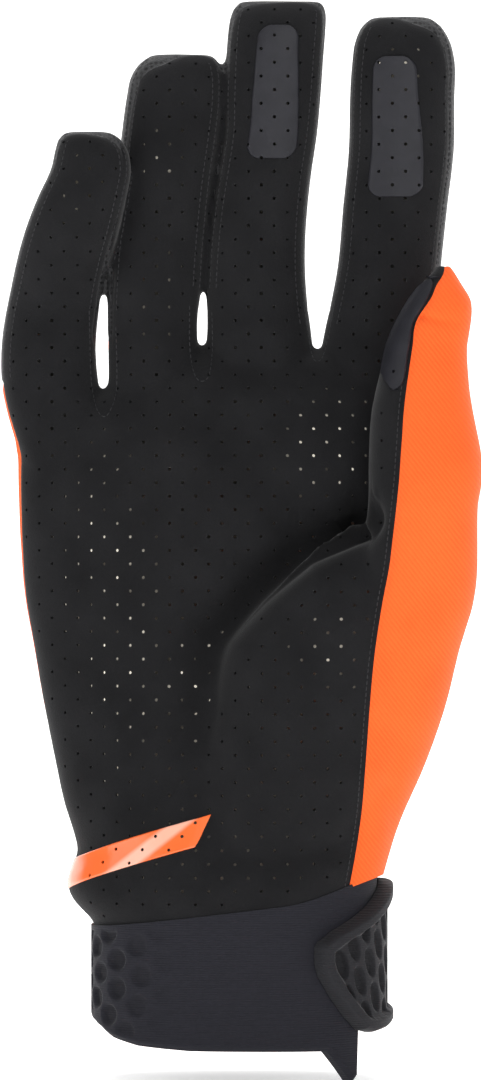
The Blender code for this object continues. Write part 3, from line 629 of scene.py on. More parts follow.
def form_of_hand():
    """The merged, smoothed and folded outer face of the whole glove."""
    verts, faces = [], []
    for tube in TUBES:
        stations = HAND_STATIONS if tube is HAND else DIGIT_STATIONS
        points, quads = tube_mesh(tube, TUBE_AROUND, stations)
        if tube in (LITTLE, RING):
            points = keep_clear(points, LITTLE_RING_SLIT, 1 if tube is RING else -1)
        if tube in (RING, MIDDLE):
            points = keep_clear(points, RING_MIDDLE_SLIT, 1 if tube is MIDDLE else -1)
        base = sum(len(v) for v in verts)
        verts.append(points)
        faces += [[k + base for k in face] for face in quads]
    skin = link_mesh("form", np.concatenate(verts), faces)
    remesh = skin.modifiers.new("merge", "REMESH")
    remesh.mode = "VOXEL"
    remesh.voxel_size = VOXEL
    smooth = skin.modifiers.new("smooth", "SMOOTH")
    smooth.factor = 0.5
    smooth.iterations = SMOOTH_STEPS
    thin = skin.modifiers.new("thin", "DECIMATE")
    thin.ratio = FORM_SHARE
    evaluated(skin)
    verts, normals, tris = arrays(skin.data)
    xz = verts[:, [0, 2]]
    front = ease(-normals[:, 1], 0.05, 0.5)
    rear = thumb_rear_y(verts[:, 0], verts[:, 2])
    thumb_panel = (thumb_side(verts) > 0) & (verts[:, 1] < rear)
    before_rear = verts[:, 1] < rear - REAR_MARGIN
    palm = front * ~thumb_panel
    push = fold_depth(CREASE, xz) * palm * ~(before_rear & (verts[:, 2] > WEB_END))
    for fold in SOFT_FOLDS:
        push += fold_depth(fold, xz) * palm * ~(before_rear & (verts[:, 2] > WEB_START))
    for fold in THUMB_FOLDS:
        push += fold_depth(fold, xz) * front * thumb_panel
    push += seam_grooves(verts)
    verts -= normals * push[:, None]
    bpy.data.objects.remove(skin)
    return verts, tris


def thumb_side(points):
    """How far each point lies past the thumb's seam, outwards."""
    return points[:, 0] - thumb_seam_x(points[:, 2])


def seam_grooves(points):
    """Shallow grooves along the seams, deepest on each seam's own line."""
    side_gap = points[:, 1] - side_seam_y(points)
    thumb_gap = thumb_side(points)
    knuckle_gap = points[:, 2] - knuckle_seam_z(points)
    front = points[:, 1] < thumb_rear_y(points[:, 0], points[:, 2])
    groove = np.exp(-(side_gap / GROOVE_HALF) ** 2) * ~(front & (thumb_gap > REAR_MARGIN))
    groove += np.exp(-(thumb_gap / GROOVE_HALF) ** 2) * front
    groove += np.exp(-(knuckle_gap / GROOVE_HALF) ** 2) * (side_gap > 0)
    return GROOVE_DEPTH * np.clip(groove, 0, 1)


def split(verts, tris, field):
    """Cuts triangles where a field is zero. Returns both sides as (points, triangles)."""
    side = field >= 0
    cross = side[tris].any(1) & ~side[tris].all(1)
    keep = {True: [tris[side[tris].all(1)]], False: [tris[~side[tris].any(1)]]}
    cut = tris[cross]
    lone = side[cut].sum(1) == 1
    odd = np.where(lone[:, None], side[cut], ~side[cut]).argmax(1)
    a, b, c = (cut[np.arange(len(cut)), (odd + k) % 3] for k in range(3))
    edges = np.concatenate([np.stack([a, b], 1), np.stack([a, c], 1)])
    edges.sort(axis=1)
    unique, index = np.unique(edges, axis=0, return_inverse=True)
    index = index.ravel()
    f0, f1 = field[unique[:, 0]], field[unique[:, 1]]
    t = (f0 / (f0 - f1))[:, None]
    fresh = verts[unique[:, 0]] * (1 - t) + verts[unique[:, 1]] * t
    ab = index[:len(cut)] + len(verts)
    ac = index[len(cut):] + len(verts)
    tips = np.stack([a, ab, ac], 1)
    rests = np.concatenate([np.stack([ab, b, c], 1), np.stack([ab, c, ac], 1)])
    for flag in (True, False):
        own = lone if flag else ~lone
        keep[flag].append(tips[own])
        keep[flag].append(rests[~np.concatenate([own, own])])
    points = np.concatenate([verts, fresh])
    return [tidy(points, np.concatenate(keep[flag])) for flag in (True, False)]


def tidy(points, tris):
    """A triangle mesh without the points that no triangle uses."""
    used, index = np.unique(tris, return_inverse=True)
    return points[used], index.reshape(-1, 3)


def panels_of(verts, tris):
    """The skin as its panels: name to (points, triangles)."""
    verts, tris = split(verts, tris, verts[:, 2] - wrist_seam_z(verts[:, 0]))[0]
    fore, rear = split(verts, tris, thumb_rear_y(verts[:, 0], verts[:, 2]) - verts[:, 1])
    thumb, fore = split(*fore, thumb_side(fore[0]))
    back, rear_palm = split(*rear, rear[0][:, 1] - side_seam_y(rear[0]))
    back_fore, fore_palm = split(*fore, fore[0][:, 1] - side_seam_y(fore[0]))
    palm = merge(rear_palm, fore_palm)
    back = merge(back, back_fore)
    upper, lower = split(*back, back[0][:, 2] - knuckle_seam_z(back[0]))
    panels = {"thumb_panel": thumb, "palm_panel": palm, "hand_back_panel": lower}
    which = owner(upper[0])
    for k, tube in enumerate(FINGERS):
        mine = which[upper[1]].max(1) == k
        panels[tube.name + "_back_panel"] = tidy(upper[0], upper[1][mine])
    return panels


def merge(one, other):
    """Two triangle meshes joined, with the points along their shared cut made one."""
    points = np.concatenate([one[0], other[0]])
    tris = np.concatenate([one[1], other[1] + len(one[0])])
    near = np.round(points, MERGE_DIGITS)
    _, first, index = np.unique(near, axis=0, return_index=True, return_inverse=True)
    tris = index.ravel()[tris]
    good = (tris[:, 0] != tris[:, 1]) & (tris[:, 1] != tris[:, 2]) & (tris[:, 2] != tris[:, 0])
    return points[first], tris[good]


form_verts, form_tris = form_of_hand()
form_tree = BVHTree.FromPolygons(form_verts.tolist(), form_tris.tolist())
panels = panels_of(form_verts, form_tris)


def place_piece(obj, material, slot, *nodes, finish=None):
    """Dresses a piece: its material, its body and the solids it stands for. Its slot is not used."""
    obj.data.materials.clear()
    obj.data.materials.append(material)
    if finish:
        finish(obj)
    obj.data.shade_smooth()
    obj.data.set_sharp_from_angle(angle=SHARP_ANGLE)
    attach(obj, "root")
    if nodes:
        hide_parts(*nodes)
    return obj


def skin_piece(name, data):
    """A panel of the skin with its thickness inwards."""
    obj = link_mesh(name, *data)
    solid = obj.modifiers.new("thickness", "SOLIDIFY")
    solid.thickness = CLOTH
    solid.offset = -1
    return evaluated(obj)


# Perforations
# The palm side is pierced by a staggered grid of small round holes, seen square from
# the front. Rows are 3 mm apart and holes 5.8 mm, each row set over by half.

HOLE_ACROSS = 0.00585
HOLE_ROWS = 0.00302
HOLE_RADIUS = 0.00038
HOLE_SIDES = 8
HOLE_MARGIN = 0.0026
HOLE_FACING = 0.55
PEG_REACH = 0.0025
RAY_START = -0.2


def seen_at(x, z):
    """Where a level line of sight from the front meets the skin, and the normal there."""
    return form_tree.ray_cast(Vector((x, RAY_START, z)), Vector((0, 1, 0)))[:2]


def hole_places():
    """Centres and directions of all holes, where the skin faces the front enough."""
    places = []
    low, high = form_verts.min(0), form_verts.max(0)
    for row, z in enumerate(np.arange(low[2], high[2], HOLE_ROWS)):
        start = low[0] + (row % 2) * HOLE_ACROSS / 2
        for x in np.arange(start, high[0], HOLE_ACROSS):
            spot, normal = seen_at(x, z)
            if spot and normal.y <= -HOLE_FACING:
                places.append((*spot, *normal))
    places = np.array(places)
    points = places[:, :3]
    fore = points[:, 1] < thumb_rear_y(points[:, 0], points[:, 2])
    free = (thumb_side(points) < -HOLE_MARGIN) | ~fore
    free &= points[:, 2] > wrist_seam_z(points[:, 0]) + HOLE_MARGIN
    return points[free], places[free, 3:]


def frames_of(normals):
    """Two directions square to each normal and to each other."""
    up = np.where(np.abs(normals[:, 2:3]) > 0.9, [[1.0, 0, 0]], [[0, 0, 1.0]])
    across = np.cross(up, normals)
    across /= np.linalg.norm(across, axis=1, keepdims=True)
    return across, np.cross(normals, across)


def pegs_at(points, normals):
    """Closed round pegs, one for each place, as one object."""
    angles = np.arange(HOLE_SIDES) * 2 * math.pi / HOLE_SIDES
    across, up = frames_of(normals)
    sideways = np.cos(angles)[None, :, None] * across[:, None]
    upwards = np.sin(angles)[None, :, None] * up[:, None]
    ring = HOLE_RADIUS * (sideways + upwards)
    outer = points[:, None] + ring + normals[:, None] * PEG_REACH
    inner = points[:, None] + ring - normals[:, None] * PEG_REACH
    verts = np.concatenate([outer, inner], axis=1)
    k = np.arange(HOLE_SIDES)
    n = (k + 1) % HOLE_SIDES
    sides = np.stack([k + HOLE_SIDES, n + HOLE_SIDES, n, k], 1)
    faces = []
    for base in range(0, len(points) * 2 * HOLE_SIDES, 2 * HOLE_SIDES):
        faces += (sides + base).tolist()
        faces.append((k + base).tolist())
        faces.append((k[::-1] + HOLE_SIDES + base).tolist())
    return link_mesh("pegs", verts, faces)


def pierce(obj):
    """Takes the holes out of a piece. The pegs never meet, and the manifold solver gets
    through their hundreds in seconds."""
    pegs = pegs_at(hole_points, hole_normals)
    cut = obj.modifiers.new("holes", "BOOLEAN")
    cut.operation = "DIFFERENCE"
    cut.solver = "MANIFOLD"
    cut.object = pegs
    evaluated(obj)
    bpy.data.objects.remove(pegs)
    return obj


hole_points, hole_normals = hole_places()

# Palm
# One panel of thin synthetic suede over the palm, the finger fronts and the thumb's
# inner side: near black, with a short nap that catches light at a low angle.

# Painted shade: the palm's colour in its crease is darkened down to this share.
CREASE_PAINTED_SHADE = 0.25


def node(tree, kind, inputs=(), **settings):
    """A node with its settings, and its inputs as values or as other nodes' outputs."""
    made = tree.nodes.new("ShaderNode" + kind)
    for key, value in settings.items():
        setattr(made, key, value)
    for key, value in dict(inputs).items():
        if isinstance(value, bpy.types.NodeSocket):
            tree.links.new(value, made.inputs[key])
        else:
            made.inputs[key].default_value = value
    return made


def blend(tree, level, dark, light, start=0.0, end=1.0):
    """A colour between two, as a level goes from start to end."""
    ramp = node(tree, "ValToRGB", {"Fac": level})
    for element, colour, position in zip(ramp.color_ramp.elements, (dark, light), (start, end)):
        element.position = position
        element.color = (*colour, 1)
    return ramp.outputs["Color"]


def finished(material, tree, shader, colour, height, strength, distance=0.0002):
    """The material with its colour joined up, and fine relief from a height."""
    tree.links.new(colour, shader.inputs["Base Color"])
    bump = node(tree, "Bump", {"Height": height, "Strength": strength, "Distance": distance})
    tree.links.new(bump.outputs["Normal"], shader.inputs["Normal"])
    return material


def with_painted_shade(tree, colour, name, least):
    """Painted shade: a colour made darker, down to a least share, where a noted value rises to 1."""
    value = node(tree, "Attribute", attribute_name=name).outputs["Fac"]
    shade = node(tree, "MapRange", {"Value": value, "To Min": 1.0, "To Max": least})
    return node(tree, "VectorMath", {0: colour, "Scale": shade.outputs[0]}, operation="SCALE").outputs[0]


def note(obj, name, values):
    """Keeps one value for each of a piece's points, for its material."""
    obj.data.attributes.new(name, "FLOAT", "POINT").data.foreach_set("value", values)


def note_crease_shade(obj):
    """Keeps how deep in the palm's crease each point lies, from 0 to 1, for the painted shade
    that darkens the crease."""
    points = arrays(obj.data)[0]
    near = fold_depth(CREASE, points[:, [0, 2]]) / CREASE.depth
    note(obj, "fold", near * (points[:, 1] < 0))


def suede(name, dark, light):
    """Patchy nap: two noises multiplied set the colour, the finer one the relief, and painted shade
    darkens the crease.
    """
    material, tree, shader = material_of(name, dark, 0.9, Sheen_Weight=0.12, Sheen_Roughness=0.45,
                                         Specular_IOR_Level=0.12)
    place = node(tree, "TexCoord").outputs["Object"]
    nap = node(tree, "TexNoise", {"Vector": place, "Scale": 2600, "Detail": 5, "Roughness": 0.65})
    patchy = node(tree, "TexNoise", {"Vector": place, "Scale": 90, "Detail": 3})
    mixed = node(tree, "Math", {0: nap.outputs["Fac"], 1: patchy.outputs["Fac"]}, operation="MULTIPLY")
    # Painted shade darkens the colour in the palm's crease.
    colour = with_painted_shade(tree, blend(tree, mixed.outputs[0], dark, light, 0.10, 0.45), "fold", CREASE_PAINTED_SHADE)
    return finished(material, tree, shader, colour, nap.outputs["Fac"], 0.45)


suede_black = suede("suede_black", (0.0075, 0.0075, 0.0083), (0.0155, 0.0155, 0.0168))
palm = skin_piece("palm_skin", panels["palm_panel"])
pierce(palm)
place_piece(palm, suede_black, "suede_black", "palm_panel", finish=note_crease_shade)

# Hand back and thumb
# Orange four-way stretch cloth with fine slanting ribs and a soft dry look. The back
# panels have a pale inner face, which shows through the holes of the palm; its pale
# colour and a painted glow in patches stand in for light coming through.

# Columns: the middle of a patch of painted glow behind the holes, its half size and how bright it is.
Glow = namedtuple("Glow", "x z wide high level")
PAINTED_GLOWS = (
    Glow(-0.0320, 0.0920, 0.0110, 0.0360, 1.0),
    Glow(0.0210, 0.1350, 0.0100, 0.0110, 0.7),
    Glow(-0.0080, 0.0800, 0.0090, 0.0110, 0.9),
    Glow(0.0240, 0.0890, 0.0110, 0.0080, 0.5),
    Glow(-0.0420, 0.1950, 0.0050, 0.0110, 0.8),
    Glow(-0.0180, 0.2000, 0.0060, 0.0050, 0.5),
    Glow(0.0330, 0.2220, 0.0070, 0.0060, 0.6),
    Glow(-0.0180, 0.1700, 0.0080, 0.0100, 0.15),
)


def painted_glow_of(points):
    """How strong the painted glow on the back panels' inner face is at each point, from 0 to 1."""
    level = np.zeros(len(points))
    for glow in PAINTED_GLOWS:
        across = (points[:, 0] - glow.x) / glow.wide
        reach = across**2 + ((points[:, 2] - glow.z) / glow.high) ** 2
        level = np.maximum(level, glow.level * np.exp(-reach**2))
    return level


def lined(obj):
    """Gives a back panel its pale inner face, with a painted glow where light would come through."""
    obj.data.materials.append(lining)
    note(obj, "glow", painted_glow_of(arrays(obj.data)[0]))
    inner = np.zeros(len(obj.data.polygons), dtype=int)
    for k, polygon in enumerate(obj.data.polygons):
        _, out, _, gap = form_tree.find_nearest(polygon.center)
        inner[k] = gap > CLOTH / 2 and out.dot(polygon.normal) < 0
    obj.data.polygons.foreach_set("material_index", inner)


lining, lining_tree, lining_shader = material_of("lining_pale", (0.55, 0.50, 0.42), 0.9)
# Painted light: the lining emits light in the glow patches, broken up by noise.
glow_node = node(lining_tree, "Attribute", attribute_name="glow")
glow_place = node(lining_tree, "TexCoord").outputs["Object"]
glow_cloud = node(lining_tree, "TexNoise", {"Vector": glow_place, "Scale": 210, "Detail": 1})
glow_range = {"From Min": 0.42, "From Max": 0.62, "To Min": 0.05, "To Max": 1.1}
glow_cut = node(lining_tree, "MapRange", {"Value": glow_cloud.outputs["Fac"], **glow_range})
glow_inputs = {0: glow_node.outputs["Fac"], 1: glow_cut.outputs[0]}
glow_gain = node(lining_tree, "Math", glow_inputs, operation="MULTIPLY")
lining_tree.links.new(glow_gain.outputs[0], lining_shader.inputs["Emission Strength"])
lining_shader.inputs["Emission Color"].default_value = (1.0, 0.93, 0.80, 1)


def stretch(name, colour, shade):
    """Slanting ribs and a fine knit added up, with a slow change of tone."""
    material, tree, shader = material_of(name, colour, 0.85, Sheen_Weight=0.05, Sheen_Roughness=0.5,
                                         Specular_IOR_Level=0.3)
    place = node(tree, "TexCoord").outputs["Object"]
    turned = node(tree, "Mapping", {"Vector": place, "Rotation": (0, math.radians(38), 0)})
    ribs = node(tree, "TexWave", {"Vector": turned.outputs[0], "Scale": 380, "Distortion": 0.6,
                                  "Detail": 2, "Detail Scale": 3}, bands_direction="X")
    knit = node(tree, "TexNoise", {"Vector": place, "Scale": 3200, "Detail": 3})
    tone = node(tree, "TexNoise", {"Vector": place, "Scale": 60, "Detail": 2})
    sum_ribs = node(tree, "Math", {0: ribs.outputs["Fac"], 1: knit.outputs["Fac"]}, operation="ADD")
    level = node(tree, "Math", {0: sum_ribs.outputs[0], 1: tone.outputs["Fac"]}, operation="MULTIPLY")
    tone_blend = blend(tree, level.outputs[0], shade, colour, 0.1, 0.55)
    return finished(material, tree, shader, tone_blend, sum_ribs.outputs[0], 0.35)


stretch_orange = stretch("stretch_orange", (1.0, 0.138, 0.020), (0.92, 0.104, 0.012))
place_piece(skin_piece("hand_back_skin", panels["hand_back_panel"]), stretch_orange,
            "stretch_orange", "hand_back_panel", finish=lined)
place_piece(skin_piece("thumb_skin", panels["thumb_panel"]), stretch_orange,
            "stretch_orange", "thumb_panel")

# Finger backs
# Black open mesh: a staggered net of small round pits between shiny threads.


def open_mesh(name, thread, pit):
    """A net from the distance to the middles of its cells, dark there and sunk."""
    material, tree, shader = material_of(name, thread, 0.55, Specular_IOR_Level=0.4)
    place = node(tree, "TexCoord").outputs["Object"]
    net = node(tree, "TexVoronoi", {"Vector": place, "Scale": 900, "Randomness": 0.25})
    fine = node(tree, "TexNoise", {"Vector": place, "Scale": 4000, "Detail": 2})
    height = node(tree, "Math", {0: net.outputs["Distance"], 1: fine.outputs["Fac"]}, operation="ADD")
    colour = blend(tree, net.outputs["Distance"], pit, thread, 0.25, 0.45)
    return finished(material, tree, shader, colour, height.outputs[0], 0.8, 0.0004)


mesh_black = open_mesh("mesh_black", (0.035, 0.035, 0.037), (0.004, 0.004, 0.004))
for tube in FINGERS:
    name = tube.name + "_back_panel"
    finger_back = skin_piece(tube.name + "_back_skin", panels[name])
    place_piece(finger_back, mesh_black, "mesh_black", name, finish=lined)

# Stitches
# Rows of short black thread stitches follow the fingers' edges, go round the crotches
# and run beside the thumb's seam. Each stitch is a small rounded bar along the skin.

STITCH_PITCH = 0.00135
STITCH_LENGTH = 0.00095
STITCH_RADIUS = 0.00013
STITCH_SIDES = 6
STITCH_LIFT = 0.35
EDGE_ROWS = (0.0009, 0.0023)
EDGE_STEPS = 60
LINE_STEPS = 12
# Columns: share of a stitch's length, and how thick it is there.
BarRow = namedtuple("BarRow", "share thick")
BAR_ROWS = (
    BarRow(0.0, 0.35),
    BarRow(0.15, 0.85),
    BarRow(0.5, 1.0),
    BarRow(0.85, 0.85),
    BarRow(1.0, 0.35),
)
Place = namedtuple("Place", "at x z")


def closed_mesh(name, verts, faces):
    """A closed mesh object whose faces all look outwards."""
    obj = link_mesh(name, verts, faces)
    bm = bmesh.new()
    bm.from_mesh(obj.data)
    bmesh.ops.recalc_face_normals(bm, faces=bm.faces)
    bm.to_mesh(obj.data)
    bm.free()
    return obj


def edge_turn(across):
    """The angle from the front of a section to a place from -1 to 1 across it."""
    across = np.clip(across, -1, 1)
    return np.arcsin(signed_power(across, TUBE_SQUARENESS / 2))


def on_skin(points):
    """Points of a line moved to the nearest place on the skin, with the normals there."""
    spots, normals = [], []
    for point in points:
        spot, normal, _, _ = form_tree.find_nearest(Vector(point))
        spots.append(spot)
        normals.append(normal)
    return np.array(spots), np.array(normals)


def in_front(line, steps=LINE_STEPS):
    """A line of places as seen from the front, read off the skin, densely."""
    rows = [Place(k, *pair) for k, pair in enumerate(line)]
    at = np.linspace(0, len(rows) - 1, (len(rows) - 1) * steps + 1)
    spots = [seen_at(x, z)[0] for x, z in zip(through(rows, "x", at), through(rows, "z", at))]
    return np.array([spot for spot in spots if spot])


def stitch_row(points):
    """Bars of thread along a line of points: the line is walked at an even pitch, and a
    bar with tapered round ends lies half sunk at each step."""
    points, normals = on_skin(points)
    steps = np.linalg.norm(np.diff(points, axis=0), axis=1)
    run = np.concatenate([[0], np.cumsum(steps)])
    starts = np.arange(0, run[-1] - STITCH_LENGTH, STITCH_PITCH)
    shares, thick = np.array(BAR_ROWS).T
    at = starts[:, None] + shares[None, :] * STITCH_LENGTH
    centre = np.stack([np.interp(at, run, points[:, k]) for k in range(3)], -1)
    up = np.stack([np.interp(at, run, normals[:, k]) for k in range(3)], -1)
    along = centre[:, -1:] - centre[:, :1]
    side = np.cross(along, up)
    side /= np.linalg.norm(side, axis=-1, keepdims=True)
    up = np.cross(side, along)
    up /= np.linalg.norm(up, axis=-1, keepdims=True)
    angles = np.arange(STITCH_SIDES) * 2 * math.pi / STITCH_SIDES
    ring = np.cos(angles)[:, None] * side[:, :, None] + np.sin(angles)[:, None] * up[:, :, None]
    radius = STITCH_RADIUS * thick[None, :, None, None]
    lift = STITCH_RADIUS * STITCH_LIFT * np.sin(math.pi * shares)[None, :, None]
    return (centre + up * lift)[:, :, None] + ring * radius


def stitches(lines, name):
    """All stitches along some lines as one mesh."""
    verts, faces = [], []
    count = len(BAR_ROWS) * STITCH_SIDES
    tube_faces = grid_faces(len(BAR_ROWS), STITCH_SIDES, closed=True)
    caps = [list(range(STITCH_SIDES))[::-1], list(range(count - STITCH_SIDES, count))]
    base = 0
    for line in lines:
        for bar in stitch_row(line):
            verts.append(bar.reshape(-1, 3))
            faces += (tube_faces + base).tolist() + [[v + base for v in cap] for cap in caps]
            base += count
    return closed_mesh(name, np.concatenate(verts), faces)


# Columns: where a finger's left and right rows of stitches start and end, as heights.
EdgeRun = namedtuple("EdgeRun", "tube left right")
EDGE_RUNS = (
    EdgeRun(INDEX, 0.162, 0.172),
    EdgeRun(MIDDLE, 0.170, 0.162),
    EdgeRun(RING, 0.165, 0.170),
    EdgeRun(LITTLE, 0.150, 0.165),
)
# The stitches' lines round the crotches, as x and z in metres.
CROTCH_LOOPS = (
    ((-0.0338, 0.1650), (-0.0334, 0.1500), (-0.0322, 0.1435), (-0.0306, 0.1412), (-0.0290, 0.1425),
     (-0.0276, 0.1480), (-0.0278, 0.1620)),
    ((-0.0113, 0.1660), (-0.0112, 0.1560), (-0.0101, 0.1505), (-0.0085, 0.1490), (-0.0069, 0.1505),
     (-0.0062, 0.1560), (-0.0063, 0.1660)),
    ((0.0142, 0.1690), (0.0152, 0.1600), (0.0163, 0.1545), (0.0174, 0.1536), (0.0186, 0.1548),
     (0.0200, 0.1600), (0.0214, 0.1680)),
)
THUMB_STITCH_ASIDE = 0.0011
THUMB_STITCH_HEIGHTS = (0.0350, 0.1640)


def edge_line(run, inset):
    """A line up one edge of a finger's front, round below its tip and down the other,
    always the inset from its outline."""
    tube = run.tube
    top = 1 - inset / tube.length
    low_left, low_right = ((z - tube.root_z) / tube.length for z in (run.left, run.right))
    rise = np.sin(np.linspace(0, math.pi / 2, EDGE_STEPS))
    left = low_left + (top - low_left) * rise
    right = low_right + (top - low_right) * rise
    line = []
    for shares, side in ((left, -1), (right[::-1], 1)):
        wide = section_of(tube, shares)[2]
        across = side * np.clip(1 - inset / wide, 0.05, 1)
        line.append(surface(tube, shares, edge_turn(across) - math.pi / 2))
    return np.concatenate(line)


thread_black, _, _ = material_of("thread_black", (0.022, 0.022, 0.024), 0.6, Specular_IOR_Level=0.4)
stitch_lines = [edge_line(run, inset) for run in EDGE_RUNS for inset in EDGE_ROWS]
stitch_lines += [in_front(loop) for loop in CROTCH_LOOPS]
seam_heights = np.linspace(*THUMB_STITCH_HEIGHTS, EDGE_STEPS)
beside_seam = thumb_seam_x(seam_heights) - THUMB_STITCH_ASIDE
stitch_lines.append(in_front(zip(beside_seam, seam_heights), 2))
seams = stitches(stitch_lines, "stitches")
place_piece(seams, thread_black, "suede_black")

# Grip patches
# Thin flexible silicone on the index and middle fingertips and the thumb, a little
# glossier and greyer than the suede, pierced with it.

PATCH_THICKNESS = 0.00045
PATCH_LIFT = 0.00005
PATCH_SINK = 0.0002
PATCH_CORNER = 0.0028
PATCH_GRID = (60, 28)
RIM_SHARE = 0.035
RIM_LEAST = 0.12
GUIDE_LIFT = 0.0003

# Columns: share of the tube's length, and both edges as places across its half width.
PatchRow = namedtuple("PatchRow", "along left right")
MIDDLE_PATCH = (
    PatchRow(0.549, -0.30, 0.48),
    PatchRow(0.560, -0.43, 0.58),
    PatchRow(0.580, -0.45, 0.60),
    PatchRow(0.900, -0.37, 0.44),
    PatchRow(0.917, -0.35, 0.42),
    PatchRow(0.926, -0.24, 0.31),
)

INDEX_PATCH = (
    PatchRow(0.461, -0.42, 0.32),
    PatchRow(0.472, -0.55, 0.44),
    PatchRow(0.492, -0.57, 0.46),
    PatchRow(0.845, -0.59, 0.22),
    PatchRow(0.865, -0.58, 0.19),
    PatchRow(0.876, -0.46, 0.07),
)

THUMB_PATCH = (
    PatchRow(0.798, -0.50, -0.44),
    PatchRow(0.808, -0.80, -0.43),
    PatchRow(0.828, -0.97, -0.43),
    PatchRow(0.869, -1.00, -0.44),
    PatchRow(0.908, -1.00, -0.57),
    PatchRow(0.928, -1.00, -0.50),
    PatchRow(0.947, -1.00, -0.42),
    PatchRow(0.967, -0.97, -0.36),
    PatchRow(0.980, -0.80, -0.28),
)

def sheet_between(outer, inner, name):
    """A closed sheet between two grids of points, joined round their rim."""
    rows, columns = outer.shape[:2]
    shift = rows * columns
    faces = grid_faces(rows, columns)
    rim = list(range(columns))
    rim += [r * columns + columns - 1 for r in range(1, rows)]
    rim += [(rows - 1) * columns + c for c in range(columns - 2, -1, -1)]
    rim += [r * columns for r in range(rows - 2, 0, -1)]
    sides = [[b, a, a + shift, b + shift] for a, b in zip(rim, rim[1:] + rim[:1])]
    faces = faces.tolist() + (faces[:, ::-1] + shift).tolist() + sides
    return closed_mesh(name, np.stack([outer, inner]), faces)


def lay_on_skin(guide, thickness, name):
    """A closed sheet over the skin below a grid of guide points, thinned at its rim."""
    rows, columns = guide.shape[:2]
    outer = np.empty_like(guide)
    inner = np.empty_like(guide)
    v = np.linspace(0, 1, rows)[:, None] * np.ones((1, columns))
    u = np.linspace(0, 1, columns)[None, :] * np.ones((rows, 1))
    edge = np.minimum.reduce([u, 1 - u, v, 1 - v])
    rise = thickness * np.sqrt(np.clip(edge / RIM_SHARE, RIM_LEAST, 1))
    for i in range(rows):
        for j in range(columns):
            spot, normal, _, _ = form_tree.find_nearest(Vector(guide[i, j]))
            outer[i, j] = spot + normal * (PATCH_LIFT + rise[i, j])
            inner[i, j] = spot - normal * PATCH_SINK
    return sheet_between(outer, inner, name)


def patch_guide(tube, rows, lines, columns):
    """Points on the front of a tube between a patch's left and right edges, with round
    corners: near both ends the width shrinks by corner - sqrt(corner^2 - past^2)."""
    keys = [row.along for row in rows]
    steps = (1 - np.cos(np.linspace(0, math.pi, lines))) / 2
    shares = keys[0] + (keys[-1] - keys[0]) * steps
    inner = keys[1], keys[-2]
    left = np.interp(np.clip(shares, *inner), keys, [row.left for row in rows])
    right = np.interp(np.clip(shares, *inner), keys, [row.right for row in rows])
    end = np.minimum(shares - keys[0], keys[-1] - shares) * tube.length
    past = np.clip(PATCH_CORNER - end, 0, PATCH_CORNER)
    shrink = PATCH_CORNER - np.sqrt(PATCH_CORNER**2 - past**2)
    half = section_of(tube, shares)[2]
    left, right = left + shrink / half, right - shrink / half
    low, high = edge_turn(left)[:, None], edge_turn(right)[:, None]
    turns = low + (high - low) * np.linspace(0, 1, columns)[None, :]
    return surface(tube, shares[:, None], turns - math.pi / 2, GUIDE_LIFT)


def silicone(name, colour, worn):
    """A smooth skin, with clouds that set its colour and its gloss."""
    material, tree, shader = material_of(name, colour, 0.48, Specular_IOR_Level=0.3)
    place = node(tree, "TexCoord").outputs["Object"]
    cloud = node(tree, "TexNoise", {"Vector": place, "Scale": 260, "Detail": 4})
    grain = node(tree, "TexNoise", {"Vector": place, "Scale": 1800, "Detail": 4})
    tone = blend(tree, cloud.outputs["Fac"], colour, worn, 0.35, 0.7)
    rough = node(tree, "MapRange", {"Value": cloud.outputs["Fac"], "To Min": 0.42, "To Max": 0.56})
    tree.links.new(rough.outputs[0], shader.inputs["Roughness"])
    return finished(material, tree, shader, tone, grain.outputs["Fac"], 0.2)


grip_grey = silicone("grip_grey", (0.0125, 0.0125, 0.0165), (0.018, 0.018, 0.0235))
for tube, rows in ((INDEX, INDEX_PATCH), (MIDDLE, MIDDLE_PATCH), (THUMB, THUMB_PATCH)):
    patch = lay_on_skin(patch_guide(tube, rows, *PATCH_GRID), PATCH_THICKNESS, tube.name + "_patch")
    pierce(patch)
    place_piece(patch, grip_grey, "grip_grey", tube.name + "_grip_patch")

# Stripe
# A tapered stripe of glossy orange film on the heel of the palm, turned in round the
# outer edge, pierced with the suede under it.

STRIPE_CURVE = 1.3
STRIPE_THICKNESS = 0.0003
STRIPE_GRID = (30, 120)
STRIPE_FOOT = 0.1
HEIGHT_STEPS = 12

# Columns: the way up from the lower edge, the left end in degrees from the front, the
# right end across the half width, and both ends' heights over the wrist seam.
StripeRow = namedtuple("StripeRow", "across turn right rise_left rise_right")
STRIPE_ROWS = (
    StripeRow(0.00, -96, -0.247, 0.29, 0.53),
    StripeRow(0.35, -98, -0.205, 0.38, 0.60),
    StripeRow(1.00, -96, -0.123, 0.51, 0.75),
)


def stripe_guide(lines, columns):
    """Points between the stripe's lower and upper edge, which climb to its tip."""
    keys, *edges = np.array(STRIPE_ROWS).T
    guide = np.empty((lines, columns, 3))
    share = np.linspace(0, 1, columns)
    for i, level in enumerate(np.linspace(0, 1, lines)):
        turn, right, low, high = (np.interp(level, keys, edge) for edge in edges)
        turns = math.radians(turn) + (edge_turn(right) - math.radians(turn)) * share
        x = surface(HAND, STRIPE_FOOT, turns - math.pi / 2)[:, 0]
        z = wrist_seam_z(x) + (low + (high - low) * share ** STRIPE_CURVE) * WRIST_SEAM_HEIGHT
        along = np.zeros_like(x)
        for _ in range(HEIGHT_STEPS):
            along = along + (z - hand_height(x, along)) / HAND.length
        guide[i] = surface(HAND, along, turns - math.pi / 2, GUIDE_LIFT)
    return guide


# Columns: the direction across a painted reflection, which is a pale streak, the streak's
# place along it, half its width and its strength.
Shine = namedtuple("Shine", "across middle wide level")
SHINES = (
    Shine((-0.620, 0.0, 0.785), 0.0482, 0.0020, 0.75),
    Shine((1.0, 0.0, 0.0), -0.0385, 0.0040, 0.45),
)
SHINE_CORE = 0.4


